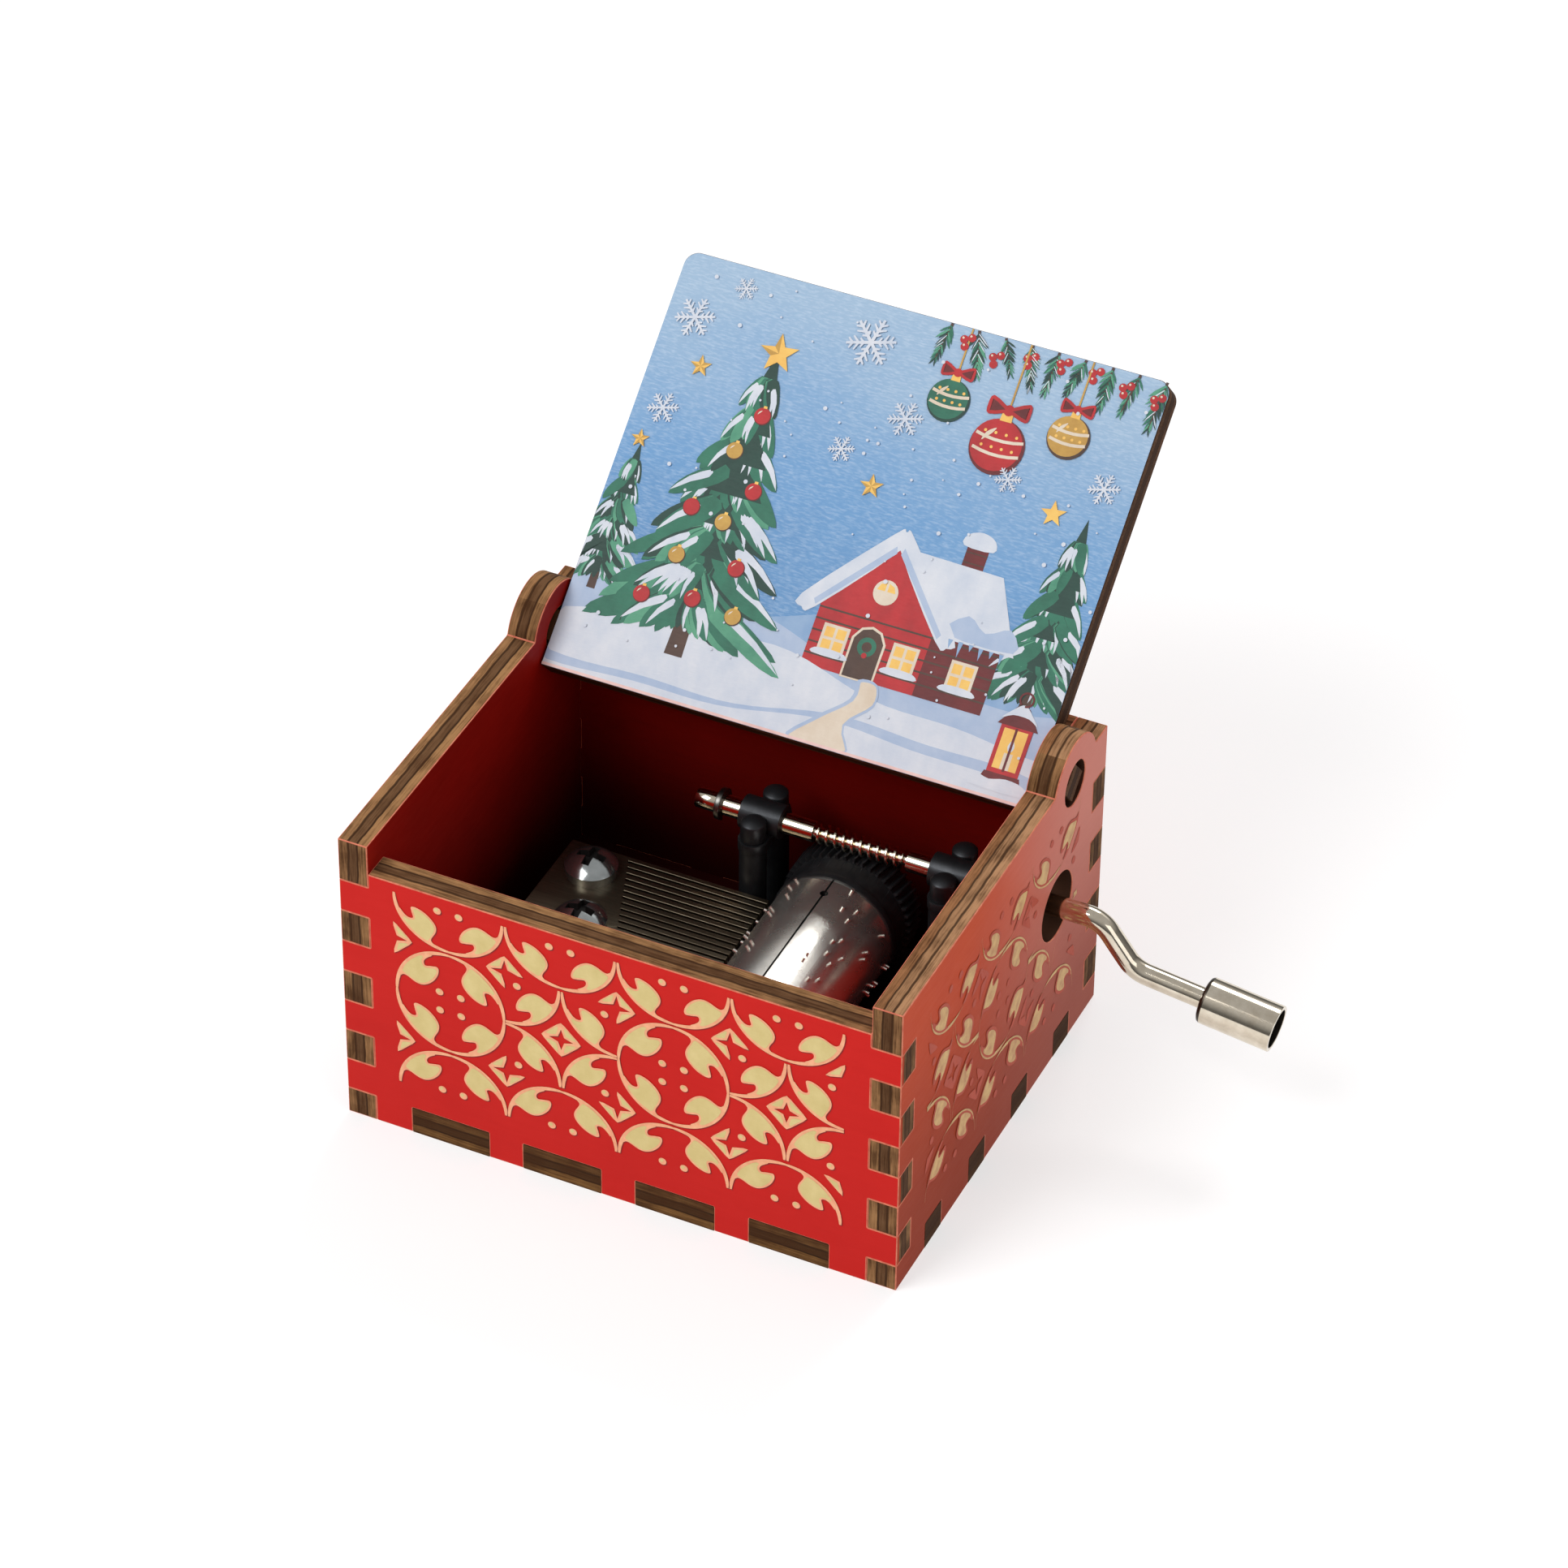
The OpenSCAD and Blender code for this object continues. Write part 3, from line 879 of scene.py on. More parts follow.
        def choose(normal: Vector, centre: Vector) -> int:
            """Tells paint, lining, bored hole, cut edge, rim and finger end apart.

            Args:
                normal: the face's normal.
                centre: the face's centre in metres.

            Returns:
                The index of the face's material.
            """
            lean = normal.dot(direction) * outer
            if abs(lean) > SQUARE:
                return Side.PAINT if lean > 0 else Side.LINING
            if axis is Axis.X and any(pivot.bores(normal, centre, self.hole_reach) for pivot in pivots):
                return Side.BORE
            if lipped and abs(normal.x) > SQUARE:
                return Side.END
            return Side.RIM if normal.z > SQUARE else Side.EDGE

        obj = frame["nodes"][name]
        wear(obj, [*shared, *cut], choose)
        soften(obj, Softening(0.11, material=Side.CHIP))

    def build(self) -> None:
        """Makes the shared finishes and draws the ornament on the four walls."""
        fresh = [self.made(ink) for ink in (self.outline, self.gold, self.groove)]
        worn = [self.made(ink) for ink in (self.worn_outline, self.worn_gold, self.worn_painted_shadow)]
        depth, width = self.sizes.half_depth * MM, self.sizes.half_width * MM
        x, y, z = Vector(Axis.X.value), Vector(Axis.Y.value), Vector(Axis.Z.value)
        four = (Field.RING, Field.STAR, Field.RING, Field.STAR)
        three = (Field.STAR, Field.RING, Field.STAR)
        shaft = Pivot.of("crank_turn").place / MM

        def clear(along: float, up: float) -> bool:
            """Keeps the crank hole's surround bare."""
            return math.hypot(along - shaft.y, up - shaft.z) > self.bare_reach

        Scroll("front_ornament", Vector((0, -depth, 0)), x, z, fresh, four).build("case")
        Scroll("back_ornament", Vector((0, depth, 0)), -x, z, fresh, four).build("case")
        Scroll("left_ornament", Vector((-width, 0, 0)), -y, z, fresh, three).build("case")
        right = Vector((width, 0, 0))
        Scroll("right_ornament", right, y, z, worn, three, clear, worn=True, fullness=0.95).build("case")

    def dress(self) -> None:
        """Paints the panels and browns their edges."""
        self.panel("front_panel", Axis.Y, -1.0, self.red, self.lit_lining)
        self.panel("back_panel", Axis.Y, 1.0, self.red, self.lining)
        self.panel("left_panel", Axis.X, -1.0, self.red, self.lining)
        self.panel("right_panel", Axis.X, 1.0, self.red_with_painted_light, self.lit_lining)
        browned = {"inside": srgb(124, 88, 50), "core": srgb(72, 48, 28), "outside": srgb(104, 72, 42)}
        edge = CutEdge("base cut edge", Axis.Z.value, 0.0, self.sizes.ply, **browned)
        # The base's end edges are browned more than its long edges as painted shade.
        ends = replace(edge, name="base end edge", scorch=1.1)
        materials = [self.made(self.underside), self.made(self.lining), edge.material(), ends.material()]

        def choose(normal: Vector, centre: Vector) -> int:
            """Tells underside, floor, long edges and ends apart.

            Args:
                normal: the face's normal.
                centre: the face's centre in metres; not used.

            Returns:
                The index of the face's material.
            """
            if abs(normal.z) > SQUARE:
                return Slab.UNDERSIDE if normal.z < 0 else Slab.FLOOR
            return Slab.END if abs(normal.x) > SQUARE else Slab.EDGE

        base = frame["nodes"]["base_panel"]
        wear(base, materials, choose)
        soften(base, Softening(0.08))


@dataclass
class Scroll:
    """The traditional leaf scroll: rings and festoons of vine with a leaf in every quarter."""

    name: str
    origin: Vector
    right: Vector
    up: Vector
    inks: Sequence[bpy.types.Material]
    cells: Sequence[Field]
    keep: Callable[[float, float], bool] = lambda x, y: True
    worn: bool = False
    pitch: float = 12.88
    reach: float = 6.42
    radius: float = 6.26
    rows: tuple[float, float, float] = (6.72, 19.77, 32.72)
    festoon: float = 6.02
    ring: float = 6.73
    arch: float = 6.58
    vine: float = 0.56
    fullness: float = 1.06
    dot_radius: float = 0.45
    tier: float = 1.2
    # The offset of the painted shadow drawn under each shape, down and to the right.
    shade: Point = (0.1, -0.11)
    kept_heading: Point = (0.87, -0.5)
    lozenge: Point = (2.4, 1.4)
    knot_lozenge: Point = (2.25, 1.6)
    leaf: Sequence[Point] = (
        (-5.9, 1.7), (-5.5, 2.0), (-5.15, 2.02), (-4.75, 1.85), (-4.35, 1.63), (-3.95, 1.47), (-3.5, 1.4),
        (-3.05, 1.48), (-2.55, 1.75), (-2.1, 2.15), (-1.7, 2.65), (-1.42, 3.2), (-1.27, 3.75), (-1.3, 4.15),
        (-1.5, 4.32), (-1.85, 4.27), (-2.2, 4.2), (-2.55, 4.1), (-2.82, 4.08), (-2.97, 4.3), (-2.95, 4.65),
        (-2.75, 4.98), (-2.4, 5.3), (-2.0, 5.62), (-2.5, 5.74), (-3.2, 5.38), (-3.9, 4.9), (-4.6, 4.25),
        (-5.2, 3.5), (-5.68, 2.6),
    )
    heart: Sequence[Point] = (
        (-5.4, 2.55), (-5.1, 2.3), (-4.7, 2.13), (-4.3, 1.92), (-3.9, 1.77), (-3.5, 1.7), (-3.1, 1.79),
        (-2.7, 2.03), (-2.3, 2.4), (-1.96, 2.85), (-1.7, 3.35), (-1.6, 3.8), (-1.85, 4.0), (-2.3, 3.9),
        (-2.7, 3.82), (-3.0, 3.87), (-3.2, 4.15), (-3.22, 4.6), (-3.05, 5.0), (-3.35, 5.1), (-3.85, 4.75),
        (-4.4, 4.22), (-4.9, 3.62), (-5.25, 3.0),
    )

    def show(self, path: Sequence[Point], index: int) -> float:
        """Tells how much of the vine's width shows at a point; worn vines show only where they run along one
        heading.

        Args:
            path: the vine's points.
            index: the point.

        Returns:
            The share of the full width.
        """
        last = len(path) - 1
        if not self.worn:
            return 0.45 + 0.5 * math.sin(math.pi * index / last) ** 0.6
        ahead, behind = path[min(index + 1, last)], path[max(index - 1, 0)]
        run = Vector((ahead[0] - behind[0], ahead[1] - behind[1])).normalized()
        alignment = abs(self.kept_heading[0] * run.x + self.kept_heading[1] * run.y)
        return min(max((alignment - 0.72) / 0.25, 0.04), 0.75)

    def quarter(self, sheet: Sheet, x: float, y: float, which: Quadrant, height: float) -> None:
        """Draws a quarter ring of vine with its leaf.

        Args:
            sheet: where to draw.
            x: the ring's centre.
            y: the ring's centre.
            which: the quarter.
            height: how high the quarter stands.
        """
        count, lift = 22, which.value / 360

        def fit(shape: Sequence[Point]) -> Shape:
            """Turns a shape of the upper left quarter into this one."""
            return [(x + a, y + b * height / self.reach) for a, b in place(shape, 0.0, 0.0, which.value)]

        vine = fit(ring_points(self.radius, count, 90.0, 90.0 + 90.0 / (count - 1)))
        leaf, heart = fit(smooth(self.leaf)), fit(smooth(resize(self.heart, self.fullness)))
        widths = [self.vine * self.show(vine, i) for i in range(count)]
        sheet.stroke(ribbon(place(vine, *self.shade), widths), Foil.GROOVE, lift)
        sheet.draw(place(leaf, *self.shade), Foil.GROOVE, lift)
        sheet.stroke(ribbon(vine, widths), Foil.GOLD if self.worn else Foil.OUTLINE, self.tier + lift)
        sheet.draw(leaf, Foil.OUTLINE, 2 * self.tier + lift)
        sheet.draw(heart, Foil.GOLD, 3 * self.tier + lift)

    def dot(self, sheet: Sheet, x: float, y: float) -> None:
        """Draws one dot.

        Args:
            sheet: where to draw.
            x: its centre.
            y: its centre.
        """
        disc = place(ring_points(self.dot_radius, 20), x, y)
        sheet.draw(place(disc, *self.shade), Foil.GROOVE)
        sheet.draw(disc, Foil.OUTLINE, self.tier)
        if not self.worn:
            # a small gold painted highlight up and to the left of the dot's middle
            spot = ring_points(0.45 * self.dot_radius, 16)
            sheet.draw(place(spot, x - 0.1, y + 0.1), Foil.GOLD, 2 * self.tier)

    def diamond(
        self, sheet: Sheet, x: float, y: float, quarters: Iterable[int], half: float, reach: float
    ) -> None:
        """Draws a rounded lozenge with a four-pointed star cut out of it.

        Args:
            sheet: where to draw.
            x: its centre.
            y: its centre.
            quarters: which quarters are there, counted anticlockwise from the upper right.
            half: how far its corners reach.
            reach: how far the star's points reach.
        """
        waist, blunt, cut, thin = 0.36, 0.95 * half, 0.2 * half, 0.6
        corner = [(0.0, blunt), (0.0, reach), (waist, waist), (reach, 0.0), (blunt, 0.0)]
        corner += [(half - cut, cut), (cut, half - cut)]
        for quarter in quarters:
            shape = place(corner, x, y, 90.0 * quarter)
            sheet.draw(place(shape, *self.shade), Foil.GROOVE)
            sheet.draw(shape, Foil.OUTLINE, self.tier)
            if not self.worn:
                sheet.draw(resize(shape, thin), Foil.GOLD, 2 * self.tier)

    def cell(self, sheet: Sheet, x: float, what: Field) -> None:
        """Draws one column: its festoons above and below and its ring or star.

        Args:
            sheet: where to draw.
            x: the column's middle.
            what: the middle's figure.
        """
        low, middle, high = self.rows
        near, side = 0.75, 1.24
        for which in (Quadrant.LOWER_LEFT, Quadrant.LOWER_RIGHT):
            self.quarter(sheet, x, high, which, self.festoon)
        for which in (Quadrant.UPPER_LEFT, Quadrant.UPPER_RIGHT):
            self.quarter(sheet, x, low, which, self.festoon)
        for shift in (-side, side):
            self.dot(sheet, x + shift, high - near)
            self.dot(sheet, x + shift, low + near)
        if what is Field.RING:
            for which in Quadrant:
                self.quarter(sheet, x, middle, which, self.ring)
            for shift in (-side, side):
                self.dot(sheet, x + shift, middle + side)
                self.dot(sheet, x + shift, middle - side)
            return
        across, rise = self.pitch / 2, self.arch
        corners = (
            (-across, rise, Quadrant.LOWER_RIGHT), (across, rise, Quadrant.LOWER_LEFT),
            (-across, -rise, Quadrant.UPPER_RIGHT), (across, -rise, Quadrant.UPPER_LEFT),
        )
        for shift, lift, which in corners:
            self.quarter(sheet, x + shift, middle + lift, which, self.arch)
        self.diamond(sheet, x, middle, range(4), *self.lozenge)

    def knot(self, sheet: Sheet, x: float, left: Union[Field, None], right: Union[Field, None]) -> None:
        """Draws the broken lozenges between two columns.

        Args:
            sheet: where to draw.
            x: the line between the columns.
            left: the figure to the left, if there is one.
            right: the figure to the right, if there is one.
        """
        middle, apart, gap = self.rows[1], 1.4, 0.22
        for sign in (1, -1):
            here = middle + sign * (self.arch + gap)
            sides = {0: right, 3: right, 1: left, 2: left}
            towards = (3, 2) if sign > 0 else (0, 1)
            shown = []
            for quarter, figure in sides.items():
                if figure is None:
                    continue
                if quarter in towards and figure is Field.STAR:
                    shift = apart if quarter in (0, 3) else -apart
                    self.dot(sheet, x + shift, here - sign * apart)
                else:
                    shown.append(quarter)
            self.diamond(sheet, x, here, shown, *self.knot_lozenge)

    def build(self, body: str) -> None:
        """Draws the whole panel.

        Args:
            body: the CAD body it rides on.
        """
        sheet = Sheet(self.name, self.origin, self.right, self.up, self.inks, keep=self.keep)
        start = -self.pitch * (len(self.cells) - 1) / 2
        for i, what in enumerate(self.cells):
            self.cell(sheet, start + i * self.pitch, what)
        bounds: list[Union[Field, None]] = [None, *self.cells, None]
        for i in range(len(self.cells) + 1):
            self.knot(sheet, start + (i - 0.5) * self.pitch, bounds[i], bounds[i + 1])
        sheet.build(body, "plywood")


class Print(Enum):
    """The lid print's colours, in the order of its material slots."""

    SKY = 0
    SNOW = 1
    SHADE = 2
    ICE = 3
    FIR = 4
    DEEP_FIR = 5
    LIGHT_FIR = 6
    RED = 7
    DEEP_RED = 8
    GOLD = 9
    BARK = 10
    CREAM = 11
    GLOW = 12
    PALE = 13


@dataclass
class Lid:
    """The lid: a winter print inside, paint and scroll outside, browned edges."""

    sizes: Measures
    case: Case
    angle: float = 139.0
    behind: float = 4.5
    gap: float = 0.2
    corner: float = 1.6
    margin: float = 0.06
    seed: int = 11
    blade: Sequence[Point] = (
        (0.0, -0.15), (0.45, -0.20), (0.8, -0.13), (1.0, 0.02), (0.75, 0.12), (0.4, 0.17), (0.0, 0.14),
    )
    needle: Sequence[Point] = ((0.0, -0.05), (0.6, -0.08), (1.0, 0.0), (0.6, 0.08), (0.0, 0.05))
    drift: Sequence[Point] = ((0.22, 0.12), (0.6, 0.15), (0.97, 0.03), (0.6, 0.04), (0.3, 0.0))

    def build(self) -> None:
        """Finds the lid's plane and draws on both of its faces."""
        pivot = Pivot.of("lid_hinge").place
        turn = Matrix.Rotation(math.radians(-self.angle), 3, "X")
        half_ply = self.sizes.ply / 2
        self._right = Vector(Axis.X.value)
        self._up = turn @ -Vector(Axis.Y.value)
        self._front = turn @ -Vector(Axis.Z.value)
        self._foot = pivot + (turn @ Vector((0, self.behind, -half_ply))) * MM
        self._half = self.sizes.half_width - self.sizes.ply - self.gap
        self._length = pivot.y / MM + self.sizes.half_depth + self.behind
        self.picture()
        outside = pivot + (turn @ Vector((0, self.behind, half_ply))) * MM
        middle, rise = self._length / 2, 13.0
        rows = (middle - rise, middle, middle + rise)
        four = (Field.STAR, Field.RING, Field.STAR, Field.RING)
        case = self.case
        inks = [case.made(ink) for ink in (case.outline, case.gold, case.groove)]
        Scroll("lid_ornament", outside, -self._right, self._up, inks, four, rows=rows).build("lid")

    def dress(self) -> None:
        """Paints the lid's outside and browns its edges."""
        start = self._foot.dot(self._front) / MM - self.sizes.ply
        browned = {"inside": srgb(96, 66, 46), "core": srgb(58, 39, 28), "outside": srgb(100, 70, 48)}
        edge = CutEdge("lid cut edge", tuple(self._front), start, self.sizes.ply, **browned)
        materials = [self.case.made(self.case.red), edge.material()]
        obj = frame["nodes"]["lid"]
        wear(obj, materials, lambda normal, centre: 0 if normal.dot(self._front) < -SQUARE else 1)
        soften(obj, Softening(0.12))

    def inks(self) -> list[bpy.types.Material]:
        """Mixes the print's colours.

        Returns:
            One material for each colour of the print.
        """
        start = self._foot.dot(self._up) / MM
        colours = {
            Print.SNOW: (srgb(216, 219, 226), srgb(188, 198, 214)),
            Print.SHADE: (srgb(178, 192, 214), srgb(150, 172, 204)),
            Print.ICE: (srgb(146, 174, 206), srgb(116, 152, 194)),
            Print.FIR: (srgb(40, 118, 92), srgb(22, 84, 66)),
            Print.DEEP_FIR: (srgb(18, 66, 54), srgb(10, 44, 38)),
            Print.LIGHT_FIR: (srgb(92, 162, 128), srgb(52, 124, 100)),
            Print.RED: (srgb(192, 30, 36), srgb(150, 18, 26)),
            Print.DEEP_RED: (srgb(112, 24, 26), srgb(78, 14, 18)),
            Print.GOLD: (srgb(206, 164, 78), srgb(166, 120, 48)),
            Print.BARK: (srgb(84, 56, 42), srgb(54, 35, 27)),
            Print.CREAM: (srgb(226, 214, 196), srgb(206, 186, 162)),
            Print.GLOW: (srgb(244, 202, 106), srgb(226, 164, 70)),
            Print.PALE: (srgb(238, 206, 200), srgb(216, 170, 164)),
        }
        made = [Sky("print sky", tuple(self._up), start, self._length).material()]
        for which in list(Print)[1:]:
            colour, shade = colours[which]
            made.append(Ink(f"print {which.name.lower()}", colour, shade).material())
        return made

    def picture(self) -> None:
        """Draws the winter scene: hills, firs, a cottage, a lantern, baubles, stars and snow."""
        self._sheet = Sheet("lid_print", self._foot, self._right, self._up, self.inks(), keep=self._inside)
        self._dice = random.Random(self.seed)
        self.backdrop()
        self.hills()
        self.fir(-26.0, 9.5, 16.0, 10.0, 1.5)
        self.fir(24.5, 9.5, 21.0, 13.0, 1.5)
        self.cottage(7.2, 8.2, 1.12)
        self.fir(-14.5, 5.0, 34.0, 21.0, 6.0, True)
        self.lantern(24.6, 2.0)
        self.garland()
        self.baubles()
        flakes = (
            (-25, 41, 2.3), (-5, 43.5, 2.8), (1.5, 36.5, 2.0), (-25, 30.5, 1.8),
            (-4.2, 31.5, 1.5), (25, 35, 1.8), (14.6, 33.2, 1.5), (-20.5, 45.5, 1.3),
        )
        for x, y, size in flakes:
            self.snowflake(x, y, size)
        for x, y, size in ((0.4, 28.5, 1.4), (-22.5, 36.0, 1.3), (20.6, 31.0, 1.5), (-26.3, 26.6, 1.1)):
            self.star(x, y, size)
        for _ in range(90):
            x, y = self._dice.uniform(-28, 28), self._dice.uniform(4, 47)
            self.put(place(ring_points(self._dice.uniform(0.1, 0.25), 10), x, y), Print.SNOW, 16)
        self._sheet.build("lid", "lid_plywood")

    def _inside(self, x: float, y: float) -> bool:
        """Tells whether a point is on the printed face."""
        near = self.margin - 0.01
        return abs(x) <= self._half - near and near <= y <= self._length - near

    def put(self, shape: Sequence[Point], tint: Print, layer: float) -> None:
        """Draws a shape with its points held on the printed face.

        Args:
            shape: its outline.
            tint: its colour.
            layer: how many layers up it lies.
        """
        bottom, thinnest = self.margin + 0.02, 0.02
        edge, top = self._half - bottom, self._length - bottom
        held = [(max(-edge, min(edge, x)), max(bottom, min(top, y))) for x, y in shape]
        if min(max(places) - min(places) for places in zip(*held)) > thinnest:
            self._sheet.draw(held, tint.value, layer)

    def line(self, path: Sequence[Point], widths: Sequence[float], tint: Print, layer: float) -> None:
        """Draws a line with a width for each of its points."""
        for quad in ribbon(path, widths):
            self.put(quad, tint, layer)

    def backdrop(self) -> None:
        """Draws the sky over the whole face, round at the free corners."""
        edge, top = self._half - self.margin, self._length - self.margin
        steps = 8
        sweep = 90 * steps / (steps - 1)
        right = place(ring_points(self.corner, steps, 0, sweep), edge - self.corner, top - self.corner)
        left = place(ring_points(self.corner, steps, 90, sweep), self.corner - edge, top - self.corner)
        foot = [(-edge, self.margin), (edge, self.margin)]
        self._sheet.draw([*foot, *right, *left], Print.SKY.value)

    def hills(self) -> None:
        """Draws snowy hills, their blue hollows and a path to the cottage's door."""
        edge = self._half

        def ridge(height: float, swing: float, phase: float) -> Shape:
            """Gives a hill's crest line.

            Args:
                height: its mean height.
                swing: how far it rises and falls.
                phase: where its waves begin.

            Returns:
                The crest's points from left to right.
            """
            crest = []
            for x in range(-30, 31, 2):
                wave = math.sin(0.1 * x + phase) + 0.3 * math.sin(0.29 * x + phase)
                crest.append((x, height + swing * wave))
            return crest

        for height, swing, phase, tint, layer in (
            (12.4, 2.0, 0.6, Print.ICE, 0.6),
            (10.8, 1.8, 3.4, Print.SHADE, 1.0),
            (7.2, 1.7, 2.4, Print.SNOW, 4.6),
            (2.8, 1.2, 0.2, Print.SHADE, 5.0),
            (1.9, 1.1, 0.5, Print.SNOW, 5.3),
        ):
            self.put([(-edge, 0.0), (edge, 0.0), *reversed(ridge(height, swing, phase))], tint, layer)
        self.put([(-edge, 0.0), (edge, 0.0), (edge, 0.4), (-edge, 0.4)], Print.PALE, 12)
        right = [(7.4, 0.1), (6.4, 3.0), (8.8, 5.8), (8.4, 8.2)]
        left = [(6.2, 8.2), (6.0, 6.0), (3.0, 3.2), (0.5, 0.1)]
        path = smooth([*right, *left])
        self.put(path, Print.SHADE, 5.6)
        self.put(place(grow(path, -0.35), 0.12, 0.05), Print.CREAM, 5.8)

    def fir(
        self, x: float, y: float, height: float, width: float, layer: float, trimmed: bool = False
    ) -> None:
        """Draws a snowy fir out of many small boughs.

        Args:
            x: its trunk's place.
            y: its foot.
            height: its height.
            width: its width at the bottom.
            layer: how many layers up it lies.
            trimmed: whether balls and a star hang on it.
        """
        foot, neck, rise = 0.05 * width, 0.04 * width, 0.2 * height
        self.put(place([(-foot, 0), (foot, 0), (neck, rise), (-neck, rise)], x, y), Print.BARK, layer)
        tiers = 8 if trimmed else 6
        depth = 1.05 * height / tiers
        greens = (Print.DEEP_FIR, Print.FIR, Print.FIR, Print.LIGHT_FIR)
        for i in range(tiers):
            share = i / tiers
            level = y + (0.12 + 0.84 * share) * height
            half = 0.5 * width * (1 - 0.9 * share)
            here = layer + 0.42 * i
            skirt = [(-0.66 * half, level), (0.66 * half, level), (0.0, level + 1.3 * depth)]
            self.put(place(skirt, x, 0), Print.DEEP_FIR, here)
            count = max(9, round(27 * (1 - 0.7 * share)))
            for k in range(count):
                lean = 2 * k / (count - 1) - 1
                across = 0.82 * half * lean
                reach = math.hypot(across, 0.72 * depth) * self._dice.uniform(0.92, 1.12)
                heading = math.degrees(math.atan2(-0.95 * depth, across)) + self._dice.uniform(-7, 7)
                root = (x + 0.2 * half * lean, level + 0.55 * depth)
                fullness = 0.95 * min(1.0, 1.2 * depth / reach)
                bough = [(a, b * fullness) for a, b in self.blade]
                tint = greens[self._dice.randrange(len(greens))]
                self.put(smooth(place(bough, *root, heading, reach * 1.15), 2), tint, here + 0.12)
                if self._dice.random() < 0.42:
                    side = 1.0 if lean > 0 else -1.0
                    snow = [(a, side * b * fullness) for a, b in self.drift]
                    self.put(smooth(place(snow, *root, heading, reach * 1.15), 2), Print.SNOW, here + 0.26)
        if not trimmed:
            return
        self.star(x, y + height + 0.6, 2.3)
        balls = (
            (0.10, -0.27, Print.RED), (0.11, 0.24, Print.GOLD), (0.13, 0.0, Print.RED),
            (0.25, -0.16, Print.GOLD), (0.26, 0.17, Print.RED), (0.39, 0.02, Print.GOLD),
            (0.41, -0.17, Print.RED), (0.51, 0.12, Print.RED), (0.62, -0.05, Print.GOLD),
            (0.75, 0.03, Print.RED),
        )
        for share, across, tint in balls:
            self.ball(x + across * width, y + (0.06 + share) * height, 0.98, tint, layer + 4.4)

    def sprig(self, x: float, y: float, turn: float, length: float) -> None:
        """Draws one fir sprig.

        Args:
            x: its root.
            y: its root.
            turn: its heading in degrees.
            length: its length.
        """
        tip = place([(0.0, 0.0), (length, 0.0)], x, y, turn)
        self.line(tip, [0.32, 0.12], Print.BARK, 8.0)
        pairs = 11
        greens = (Print.DEEP_FIR, Print.FIR, Print.LIGHT_FIR)
        for k in range(pairs):
            out = (0.08 + 0.92 * k / (pairs - 1)) * length
            reach = length * (0.40 - 0.18 * k / (pairs - 1)) * self._dice.uniform(0.85, 1.15)
            for lean in (38, -38):
                root = place([(out, 0.0)], x, y, turn)[0]
                heading = turn + lean * (1 - 0.5 * k / (pairs - 1)) + self._dice.uniform(-6, 6)
                tint = greens[self._dice.randrange(len(greens))]
                self.put(place(self.needle, *root, heading, reach), tint, 8.2)
                if self._dice.random() < 0.2:
                    frost = [(a, 0.5 * b) for a, b in self.needle]
                    self.put(place(frost, *root, heading + 3, 0.95 * reach), Print.SNOW, 8.6)

    def garland(self) -> None:
        """Draws fir sprigs and berries that hang over the free edge's right half."""
        top = self._length - 0.1
        for k in range(9):
            x = 3.0 + 3.1 * k
            self.sprig(x, top, -90 + self._dice.uniform(-32, 32), self._dice.uniform(3.6, 5.8))
        for k in range(7):
            x, y = 4.8 + 3.7 * k, top - self._dice.uniform(0.9, 2.4)
            for a, b in ((0.0, 0.0), (0.8, 0.35), (0.3, -0.75)):
                self.put(place(ring_points(0.46, 16), x + a, y + b), Print.RED, 8.8)
                self.put(place(ring_points(0.13, 10), x + a - 0.15, y + b + 0.15), Print.CREAM, 9.1)

    def ball(self, x: float, y: float, radius: float, tint: Print, layer: float) -> None:
        """Draws a glass ball with a cap and a highlight.

        Args:
            x: its centre.
            y: its centre.
            radius: its radius.
            tint: its colour.
            layer: how many layers up it lies.
        """
        dark = {Print.RED: Print.DEEP_RED, Print.GOLD: Print.BARK}.get(tint, Print.DEEP_FIR)
        self.put(place(ring_points(radius, 28), x, y), dark, layer)
        lit = place(ring_points(0.93 * radius, 28), x - 0.05 * radius, y + 0.06 * radius)
        self.put(lit, tint, layer + 0.3)
        cap = [(-0.22, 0.92), (0.22, 0.92), (0.2, 1.2), (-0.2, 1.2)]
        self.put(place(cap, x, y, 0, radius), Print.GLOW, layer + 0.3)
        gleam = [(-0.62, 0.1), (-0.52, 0.42), (-0.22, 0.64), (-0.32, 0.42), (-0.45, 0.28)]
        self.put(smooth(place(gleam, x, y, 0, radius), 3), Print.CREAM, layer + 0.9)

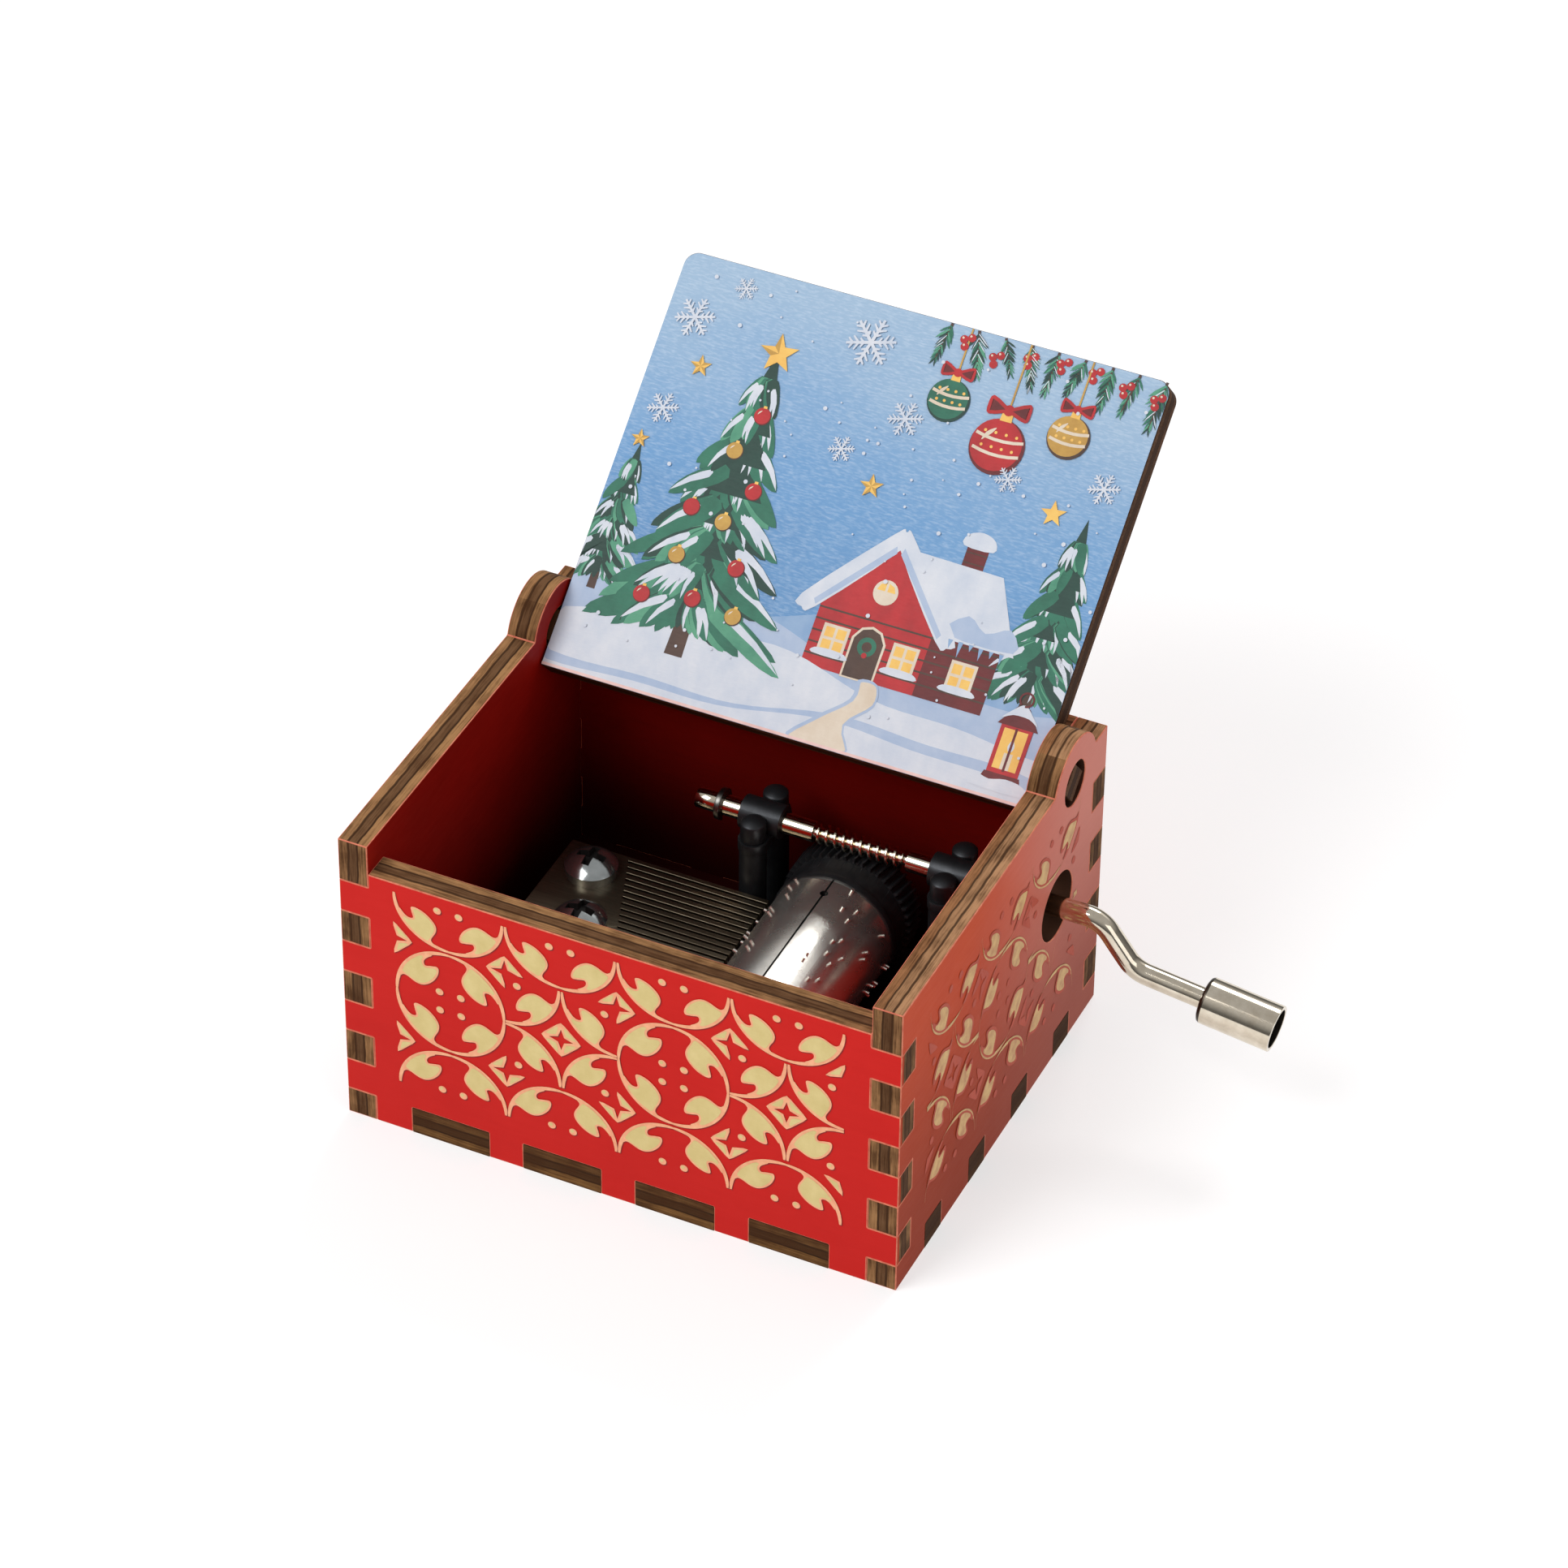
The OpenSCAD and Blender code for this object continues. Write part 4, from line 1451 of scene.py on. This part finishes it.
    def baubles(self) -> None:
        """Draws the big baubles that hang on cords from the free edge."""
        top = self._length - 0.1
        hung = ((12.2, 11.6, 3.1, Print.RED), (19.4, 8.6, 2.4, Print.GOLD), (5.4, 8.2, 2.4, Print.FIR))
        for x, drop, radius, tint in hung:
            y = top - drop
            cord = [(-0.1, radius * 1.15), (0.1, radius * 1.15), (0.1, drop), (-0.1, drop)]
            self.put(place(cord, x, y), Print.GOLD, 9.4)
            self.ball(x, y, radius, tint, 9.6)
            for level in (-0.3, 0.22):
                reach = 0.9 * math.sqrt(1 - level * level) * radius
                steps = (-1, -0.6, -0.2, 0.2, 0.6, 1)
                band = [(x + reach * s, y + (level + 0.12 * s * s) * radius) for s in steps]
                self.line(band, [0.34] * len(band), Print.CREAM, 10.3)
                for s in (-0.66, -0.22, 0.22, 0.66):
                    spot = place(ring_points(0.17, 10), x + reach * s, y + (level + 0.25) * radius)
                    self.put(spot, Print.GLOW, 10.3)
            knot = y + 1.32 * radius
            wing = smooth([(0, 0), (0.85, 0.5), (1.0, 0.05), (0.85, -0.35)], 3)
            for side in (1, -1):
                loop = [(side * a, b) for a, b in wing]
                self.put(place(loop, x, knot, 0, 0.8 * radius), Print.RED, 10.6)
                self.put(place(grow(loop, -0.16), x, knot, 0, 0.8 * radius), Print.DEEP_RED, 10.9)
            self.put(place(ring_points(0.2 * radius, 14), x, knot), Print.RED, 11.2)

    def cottage(self, x: float, y: float, size: float) -> None:
        """Draws a log cottage under snow.

        Args:
            x: its middle.
            y: its foot.
            size: its scale.
        """

        def part(shape: Sequence[Point], tint: Print, layer: float) -> None:
            """Draws one piece of the cottage."""
            self.put(place(shape, x, y, 0, size), tint, layer)

        def plate(left: float, low: float, right: float, high: float) -> Shape:
            """Gives an upright rectangle."""
            return [(left, low), (right, low), (right, high), (left, high)]

        part(plate(5.0, 9.0, 7.2, 15.4), Print.DEEP_RED, 2.0)
        for i in range(6):
            part(plate(5.0, 9.6 + i, 7.2, 9.72 + i), Print.BARK, 2.2)
        part(smooth([(4.6, 15.2), (7.6, 15.2), (7.5, 16.3), (6.1, 16.8), (4.7, 16.3)], 3), Print.SNOW, 2.4)
        part(plate(-7.0, 0.0, 11.6, 6.6), Print.DEEP_RED, 2.6)
        part(plate(-7.0, 0.0, 4.6, 6.6), Print.RED, 2.8)
        part([(-7.4, 6.4), (-1.2, 13.0), (5.0, 6.4)], Print.RED, 2.8)
        for i in range(5):
            part(plate(-7.0, 1.1 + 1.15 * i, 11.6, 1.28 + 1.15 * i), Print.BARK, 3.0)
        part([(-1.2, 13.4), (9.4, 13.2), (12.9, 6.1), (5.0, 6.1)], Print.SNOW, 3.2)
        part(smooth([(5.6, 6.6), (12.7, 6.5), (11.8, 8.6), (9.5, 7.6), (7.4, 8.8)], 3), Print.SHADE, 3.4)
        for side in (-1, 1):
            slope = [(0.0, 13.0), (0.1, 14.9), (1.2, 14.2), (7.9, 6.5), (7.5, 5.2), (6.2, 5.6)]
            part(smooth([(-1.2 + side * a, b) for a, b in slope], 3), Print.SNOW, 3.6)
            shade = [(0.2, 12.6), (0.4, 13.3), (6.6, 6.3), (6.3, 5.8)]
            part([(-1.2 + side * a, b) for a, b in shade], Print.SHADE, 3.8)
        for k, drop in enumerate((0.9, 1.6, 0.7, 1.3, 0.8, 1.1)):
            left = 6.2 + k * 1.05
            part([(left, 6.2), (left + 0.5, 6.2), (left + 0.25, 6.2 - drop)], Print.ICE, 3.8)
        door = [(-1.5, 0.0), (1.5, 0.0), (1.5, 3.8), (0.9, 4.7), (0, 5.0), (-0.9, 4.7), (-1.5, 3.8)]
        part([(a - 1.2, b) for a, b in grow(door, 0.25)], Print.CREAM, 3.9)
        part([(a - 1.2, b) for a, b in door], Print.BARK, 4.1)
        part(place(ring_points(0.95, 22), -1.2, 3.2), Print.FIR, 4.3)
        part(place(ring_points(0.5, 16), -1.2, 3.2), Print.BARK, 4.4)
        part(place(ring_points(0.28, 10), -1.2, 2.35), Print.RED, 4.5)
        for across in (-4.6, 2.6, 8.6):
            part(place(plate(-1.35, -1.4, 1.35, 1.4), across, 3.0), Print.CREAM, 3.9)
            for a in (-0.6, 0.6):
                for b in (-0.62, 0.62):
                    part(place(plate(-0.46, -0.48, 0.46, 0.48), across + a, 3.0 + b), Print.GLOW, 4.1)
            sill = smooth([(-1.7, -1.7), (1.7, -1.7), (1.5, -1.15), (0, -1.0), (-1.5, -1.15)], 3)
            part(place(sill, across, 3.0), Print.SNOW, 4.3)
        part(place(ring_points(1.25, 24), -1.2, 8.7), Print.CREAM, 3.9)
        for k in range(4):
            pane = place([(0.12, 0.12), (0.95, 0.12), (0.7, 0.7), (0.12, 0.95)], -1.2, 8.7, 90 * k)
            part(pane, Print.GLOW, 4.1)

    def lantern(self, x: float, y: float) -> None:
        """Draws a red lantern that stands in the snow.

        Args:
            x: its middle.
            y: its foot.
        """
        ridge = [(-2.1, 6.7), (-0.7, 8.2), (0.0, 8.6), (0.7, 8.2)]
        eaves = [(2.1, 6.7), (0.9, 7.3), (-0.9, 7.3)]
        under = [(-3.2, -0.9), (3.2, -0.9), (2.6, 0.2), (0.6, 0.5), (-1.2, 0.1), (-2.6, 0.3)]
        parts = (
            ([(-2.4, -0.3), (2.4, -0.3), (2.0, 0.9), (-2.0, 0.9)], Print.DEEP_RED, 7.0),
            ([(-1.8, 0.9), (1.8, 0.9), (1.8, 6.2), (-1.8, 6.2)], Print.RED, 7.0),
            ([(-1.35, 1.4), (1.35, 1.4), (1.35, 5.8), (-1.35, 5.8)], Print.GLOW, 7.2),
            ([(-0.5, 1.4), (0.5, 1.4), (0.5, 3.2), (-0.5, 3.2)], Print.CREAM, 7.4),
            (smooth([(0.0, 4.7), (0.38, 3.9), (0.0, 3.3), (-0.38, 3.9)], 3), Print.SNOW, 7.4),
            ([(-0.14, 1.2), (0.14, 1.2), (0.14, 6.0), (-0.14, 6.0)], Print.DEEP_RED, 7.6),
            ([(-2.3, 6.1), (2.3, 6.1), (0.7, 8.3), (-0.7, 8.3)], Print.DEEP_RED, 7.6),
            (smooth([*ridge, *eaves], 3), Print.SNOW, 7.8),
            (smooth(under, 3), Print.SNOW, 7.9),
        )
        for shape, tint, layer in parts:
            self.put(place(shape, x, y), tint, layer)
        loop = place(ring_points(0.75, 15, -90, 350), x, y + 9.2)
        self.line(loop, [0.22] * len(loop), Print.DEEP_RED, 7.8)

    def snowflake(self, x: float, y: float, size: float) -> None:
        """Draws a six-armed snowflake.

        Args:
            x: its centre.
            y: its centre.
            size: its arms' length.
        """
        for arm in range(6):
            turn = 60.0 * arm + 15.0
            spine = place([(0.0, 0.0), (size, 0.0)], x, y, turn)
            self.line(spine, [0.13 * size, 0.10 * size], Print.SNOW, 14)
            for out, reach in ((0.3, 0.22), (0.5, 0.34), (0.74, 0.26)):
                for lean in (55, -55):
                    tip = place([(0.0, 0.0), (reach, 0.0)], out, 0.0, lean)
                    self.line(place(tip, x, y, turn, size), [0.11 * size, 0.06 * size], Print.SNOW, 14.4)

    def star(self, x: float, y: float, size: float) -> None:
        """Draws a five-pointed star, half in shade.

        Args:
            x: its centre.
            y: its centre.
            size: its points' length.
        """
        tips, dips = ring_points(size, 5, 98), ring_points(0.42 * size, 5, 134)
        outline = [point for pair in zip(tips, dips) for point in pair]
        self.put(place(outline, x, y), Print.GLOW, 12)
        for i in range(0, 10, 2):
            self.put(place([(0.0, 0.0), outline[i], outline[i + 1]], x, y), Print.GOLD, 12.5)


@dataclass
class Movement:
    """The music movement: casting, comb, drum, gear and their fasteners."""

    cast: Metal = Metal("dark casting", srgb(56, 58, 61), srgb(32, 33, 35), 0.42, (0.5, 0.5, 0.5), 0.75)
    comb: Metal = Metal("comb steel", srgb(126, 116, 98), srgb(84, 77, 64), 0.34, (0.25, 3.0, 3.0))
    nickel: Metal = Metal("bright nickel", srgb(228, 226, 220), srgb(196, 192, 184), 0.12)
    drum: Metal = Metal("drum nickel", srgb(228, 224, 216), srgb(194, 188, 180), 0.25, metallic=0.93)
    black: Plastic = Plastic("black plastic", srgb(20, 21, 23), srgb(36, 37, 39), 0.42)
    screw: Metal = Metal("screw nickel", srgb(182, 187, 187), srgb(138, 143, 143), 0.15, metallic=0.96)
    # Near-black painted shade for the drum's seam and the comb screws' cross slots.
    recess_shade: Plastic = Plastic("dark recess", srgb(16, 14, 13), srgb(30, 27, 25), 0.7)
    slot_depth: float = 0.25
    dome: float = 1.3
    bore_reach: float = 5.6
    drum_radius: float = 6.9
    drum_skin: float = 0.1
    outward: float = 0.98
    endways: float = 0.99
    upright: float = 0.2
    level: float = 0.999

    def build(self) -> None:
        """Makes the finishes that several nodes share."""
        self._nickel = self.nickel.material()
        self._cast = self.cast.material()
        self._recess_shade = self.recess_shade.material()

    def dress(self) -> None:
        """Gives every node its finish."""
        coat(("bedplate", "bearing_left", "bearing_right", "bearing_rivets"), self._cast, Softening(0.10))
        coat(("comb",), self.comb.material(), Softening(0.05))
        coat(("movement_screws",), self._nickel, Softening(0.06))
        coat(("drum_axle",), self._nickel, Softening(0.04))
        coat(("drum_gear", "drum_cap"), self.black.material(), Softening(0.05))
        self.dress_drum()
        self.dress_screws()

    def dress_drum(self) -> None:
        """Plates the drum and paints shade into its seam and the seam's hole."""
        pivot = Pivot.of("drum_turn")

        def choose(normal: Vector, centre: Vector) -> int:
            """Finds the faces of the seam, which lie below the drum's surface and above its bore.

            Args:
                normal: the face's normal.
                centre: the face's centre in metres.

            Returns:
                1 for the seam, otherwise 0.
            """
            outwards = pivot.inward(normal, centre) < -self.outward
            deep = self.bore_reach < pivot.reach(centre) < self.drum_radius - self.drum_skin
            return 1 if deep and not outwards and abs(normal.dot(pivot.axis)) < self.endways else 0

        wear(frame["nodes"]["drum"], [self.drum.material(), self._recess_shade], choose)

    def dress_screws(self) -> None:
        """Plates the comb's screws and paints shade into their cross slots."""
        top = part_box("comb_screws")[1].z / MM

        def choose(normal: Vector, centre: Vector) -> int:
            """Finds the slots' walls and floors.

            Args:
                normal: the face's normal.
                centre: the face's centre in metres.

            Returns:
                1 for a slot, otherwise 0.
            """
            below = top - centre.z / MM
            wall = abs(normal.z) < self.upright and below < self.dome
            ground = normal.z > self.level and self.slot_depth < below < self.dome
            return 1 if wall or ground else 0

        wear(frame["nodes"]["comb_screws"], [self.screw.material(), self._recess_shade], choose)


@dataclass
class Crank:
    """The bent wire crank with its worm, clip and knob."""

    wire: Metal = Metal("champagne nickel", srgb(226, 216, 198), srgb(186, 172, 150), 0.10)
    # Dark metal as painted shade inside the knob's cup and on the wire's head there, and as a painted dark
    # reflection on the knob's rounded inner end.
    shaded_nickel: Metal = Metal("shaded nickel", srgb(78, 72, 64), srgb(46, 42, 38), 0.32)
    clip: Metal = Metal("clip steel", srgb(120, 118, 114), srgb(84, 82, 80), 0.3)
    cup: float = 5.9
    cup_depth: float = 1.0
    cup_lean: float = 0.5
    rounding: Point = (-0.95, -0.2)
    head_reach: float = 2.5

    def build(self) -> None:
        """Makes the finishes."""
        self._wire = self.wire.material()
        self._shaded_nickel = self.shaded_nickel.material()

    def dress(self) -> None:
        """Gives every node its finish; the knob's cup and the wire's head inside it are darkened as painted
        shade, the knob's rounded inner end as a painted dark reflection.
        """
        pivot = Pivot.of("knob_spin")

        def cupped(normal: Vector, centre: Vector) -> int:
            """Finds the faces inside the knob and its rounded inner end.

            Args:
                normal: the face's normal.
                centre: the face's centre in metres.

            Returns:
                1 for those, otherwise 0.
            """
            out, ends = pivot.along(centre), normal.dot(pivot.axis)
            deep = out > self.cup and pivot.inward(normal, centre) > self.cup_lean
            ground = ends > SQUARE and out < self.cup + self.cup_depth
            return 1 if deep or ground or self.rounding[0] < ends < self.rounding[1] else 0

        def headed(normal: Vector, centre: Vector) -> int:
            """Finds the wire's head inside the knob's cup."""
            return 1 if pivot.along(centre) > self.cup and pivot.reach(centre) < self.head_reach else 0

        finishes = [self._wire, self._shaded_nickel]
        wear(frame["nodes"]["crank_shaft"], finishes, headed)
        soften(frame["nodes"]["crank_shaft"], Softening(0.03, 1, 50.0))
        wear(frame["nodes"]["crank_knob"], finishes, cupped)
        soften(frame["nodes"]["crank_knob"], Softening(0.08))
        coat(("shaft_clip",), self.clip.material(), Softening(0.04))


@dataclass(frozen=True)
class Lamp:
    """One soft light."""

    name: str
    place: tuple[float, float, float]
    target: tuple[float, float, float]
    size: tuple[float, float]
    power: float

    def build(self) -> None:
        """Puts the light in the scene."""
        data = bpy.data.lights.new(self.name, "AREA")
        data.shape = "RECTANGLE"
        data.size, data.size_y = self.size
        data.energy = self.power
        lamp = bpy.data.objects.new(self.name, data)
        lamp.location = self.place
        aim = Vector(self.target) - Vector(self.place)
        lamp.rotation_euler = aim.to_track_quat("-Z", "Y").to_euler()
        bpy.context.scene.collection.objects.link(lamp)


@dataclass
class Studio:
    """The floor, lights and camera."""

    azimuth: float = 24.843
    elevation: float = 38.944
    roll: float = 0.703
    distance: float = 693.152
    offset: tuple[float, float] = (6.09, 13.314)
    focus_height: float = 20.0
    lens: float = 150.45
    sensor: float = 36.0
    clip: Point = (0.01, 20.0)
    floor_glow: float = 0.55
    ambient: float = 0.12
    overhead: float = 0.4
    backlight: float = 0.7
    lamps: Sequence[Lamp] = (
        Lamp("key", (-0.35, -0.55, 0.75), (0.0, 0.0, 0.03), (0.5, 0.5), 5.5),
        Lamp("fill", (0.75, -0.35, 0.35), (0.0, 0.0, 0.03), (0.5, 0.5), 1.0),
        Lamp("top", (0.03, 0.60, 0.68), (0.0, 0.0, 0.02), (0.35, 0.25), 2.0),
    )

    def build(self) -> None:
        """Makes the floor, world, lights and camera."""
        self.floor()
        self.world()
        for lamp in self.lamps:
            lamp.build()
        self.camera()

    def floor(self) -> None:
        """Lays a wide pale floor under the box."""
        reach, drop = 3.0, 0.05 * MM
        square = ((-reach, -reach), (reach, -reach), (reach, reach), (-reach, reach))
        corners = [(x, y, -drop) for x, y in square]
        mesh = bpy.data.meshes.new("floor")
        mesh.from_pydata(corners, [], [(0, 1, 2, 3)])
        graph = Graph("pale floor")
        cloud = graph.noise((0.004, 0.004, 0.004), 2.0)
        tint = graph.mix(cloud, srgb(190, 190, 190), srgb(187, 187, 188))
        inputs = {"Base Color": tint, "Roughness": 0.8, "Specular IOR Level": 0.1}
        glow = {"Emission Color": (1.0, 1.0, 1.0), "Emission Strength": self.floor_glow}
        mesh.materials.append(graph.finish({**inputs, **glow}))
        floor = bpy.data.objects.new("floor", mesh)
        bpy.context.scene.collection.objects.link(floor)

    def world(self) -> None:
        """Surrounds the scene with white light from above that dims towards the horizon."""
        graph = Graph("studio", True)
        heading = graph.socket(graph.node("ShaderNodeTexCoord", {}, {}), "Generated")
        parts = graph.node("ShaderNodeSeparateXYZ", {}, {"Vector": heading})
        rise, back = graph.socket(parts, "Z"), graph.socket(parts, "Y")
        light = self.ambient + self.overhead * rise.step(0.05, 0.75)
        light = light + self.backlight * back.step(0.45, 0.7) * rise.step(0.45, 0.68)
        glow = graph.node("ShaderNodeBackground", {}, {"Color": (1.0, 1.0, 1.0), "Strength": light})
        graph.node("ShaderNodeOutputWorld", {}, {"Surface": graph.socket(glow)})
        bpy.context.scene.world = graph.owner
        bpy.context.scene.view_settings.view_transform = "Standard"

    def camera(self) -> None:
        """Sets the camera where the photograph was taken from."""
        az, el, roll = (math.radians(v) for v in (self.azimuth, self.elevation, self.roll))
        back = Vector((math.sin(az) * math.cos(el), -math.cos(az) * math.cos(el), math.sin(el)))
        side = Vector((0, 0, 1)).cross(back).normalized()
        rise = back.cross(side)
        right = side * math.cos(roll) + rise * math.sin(roll)
        up = rise * math.cos(roll) - side * math.sin(roll)
        spot = right * self.offset[0] + up * self.offset[1] + back * self.distance
        spot.z += self.focus_height
        data = bpy.data.cameras.new("camera")
        data.lens = self.lens
        data.sensor_width = self.sensor
        data.clip_start, data.clip_end = self.clip
        data.dof.use_dof = False
        camera = bpy.data.objects.new("camera", data)
        turn = Matrix((right, up, back)).transposed().to_4x4()
        camera.matrix_world = Matrix.Translation(spot * MM) @ turn
        bpy.context.scene.collection.objects.link(camera)
        bpy.context.scene.camera = camera


def main() -> None:
    """Builds and dresses every sub-assembly."""
    logging.basicConfig(level=logging.INFO, format="%(name)s: %(message)s")
    sizes = Measures().build()
    case = Case(sizes)
    lid = Lid(sizes, case)
    for part in (case, lid, Movement(), Crank()):
        part.build()
        part.dress()
        LOG.info("%s built and dressed", type(part).__name__)
    Studio().build()


if __name__ == "__main__":
    main()
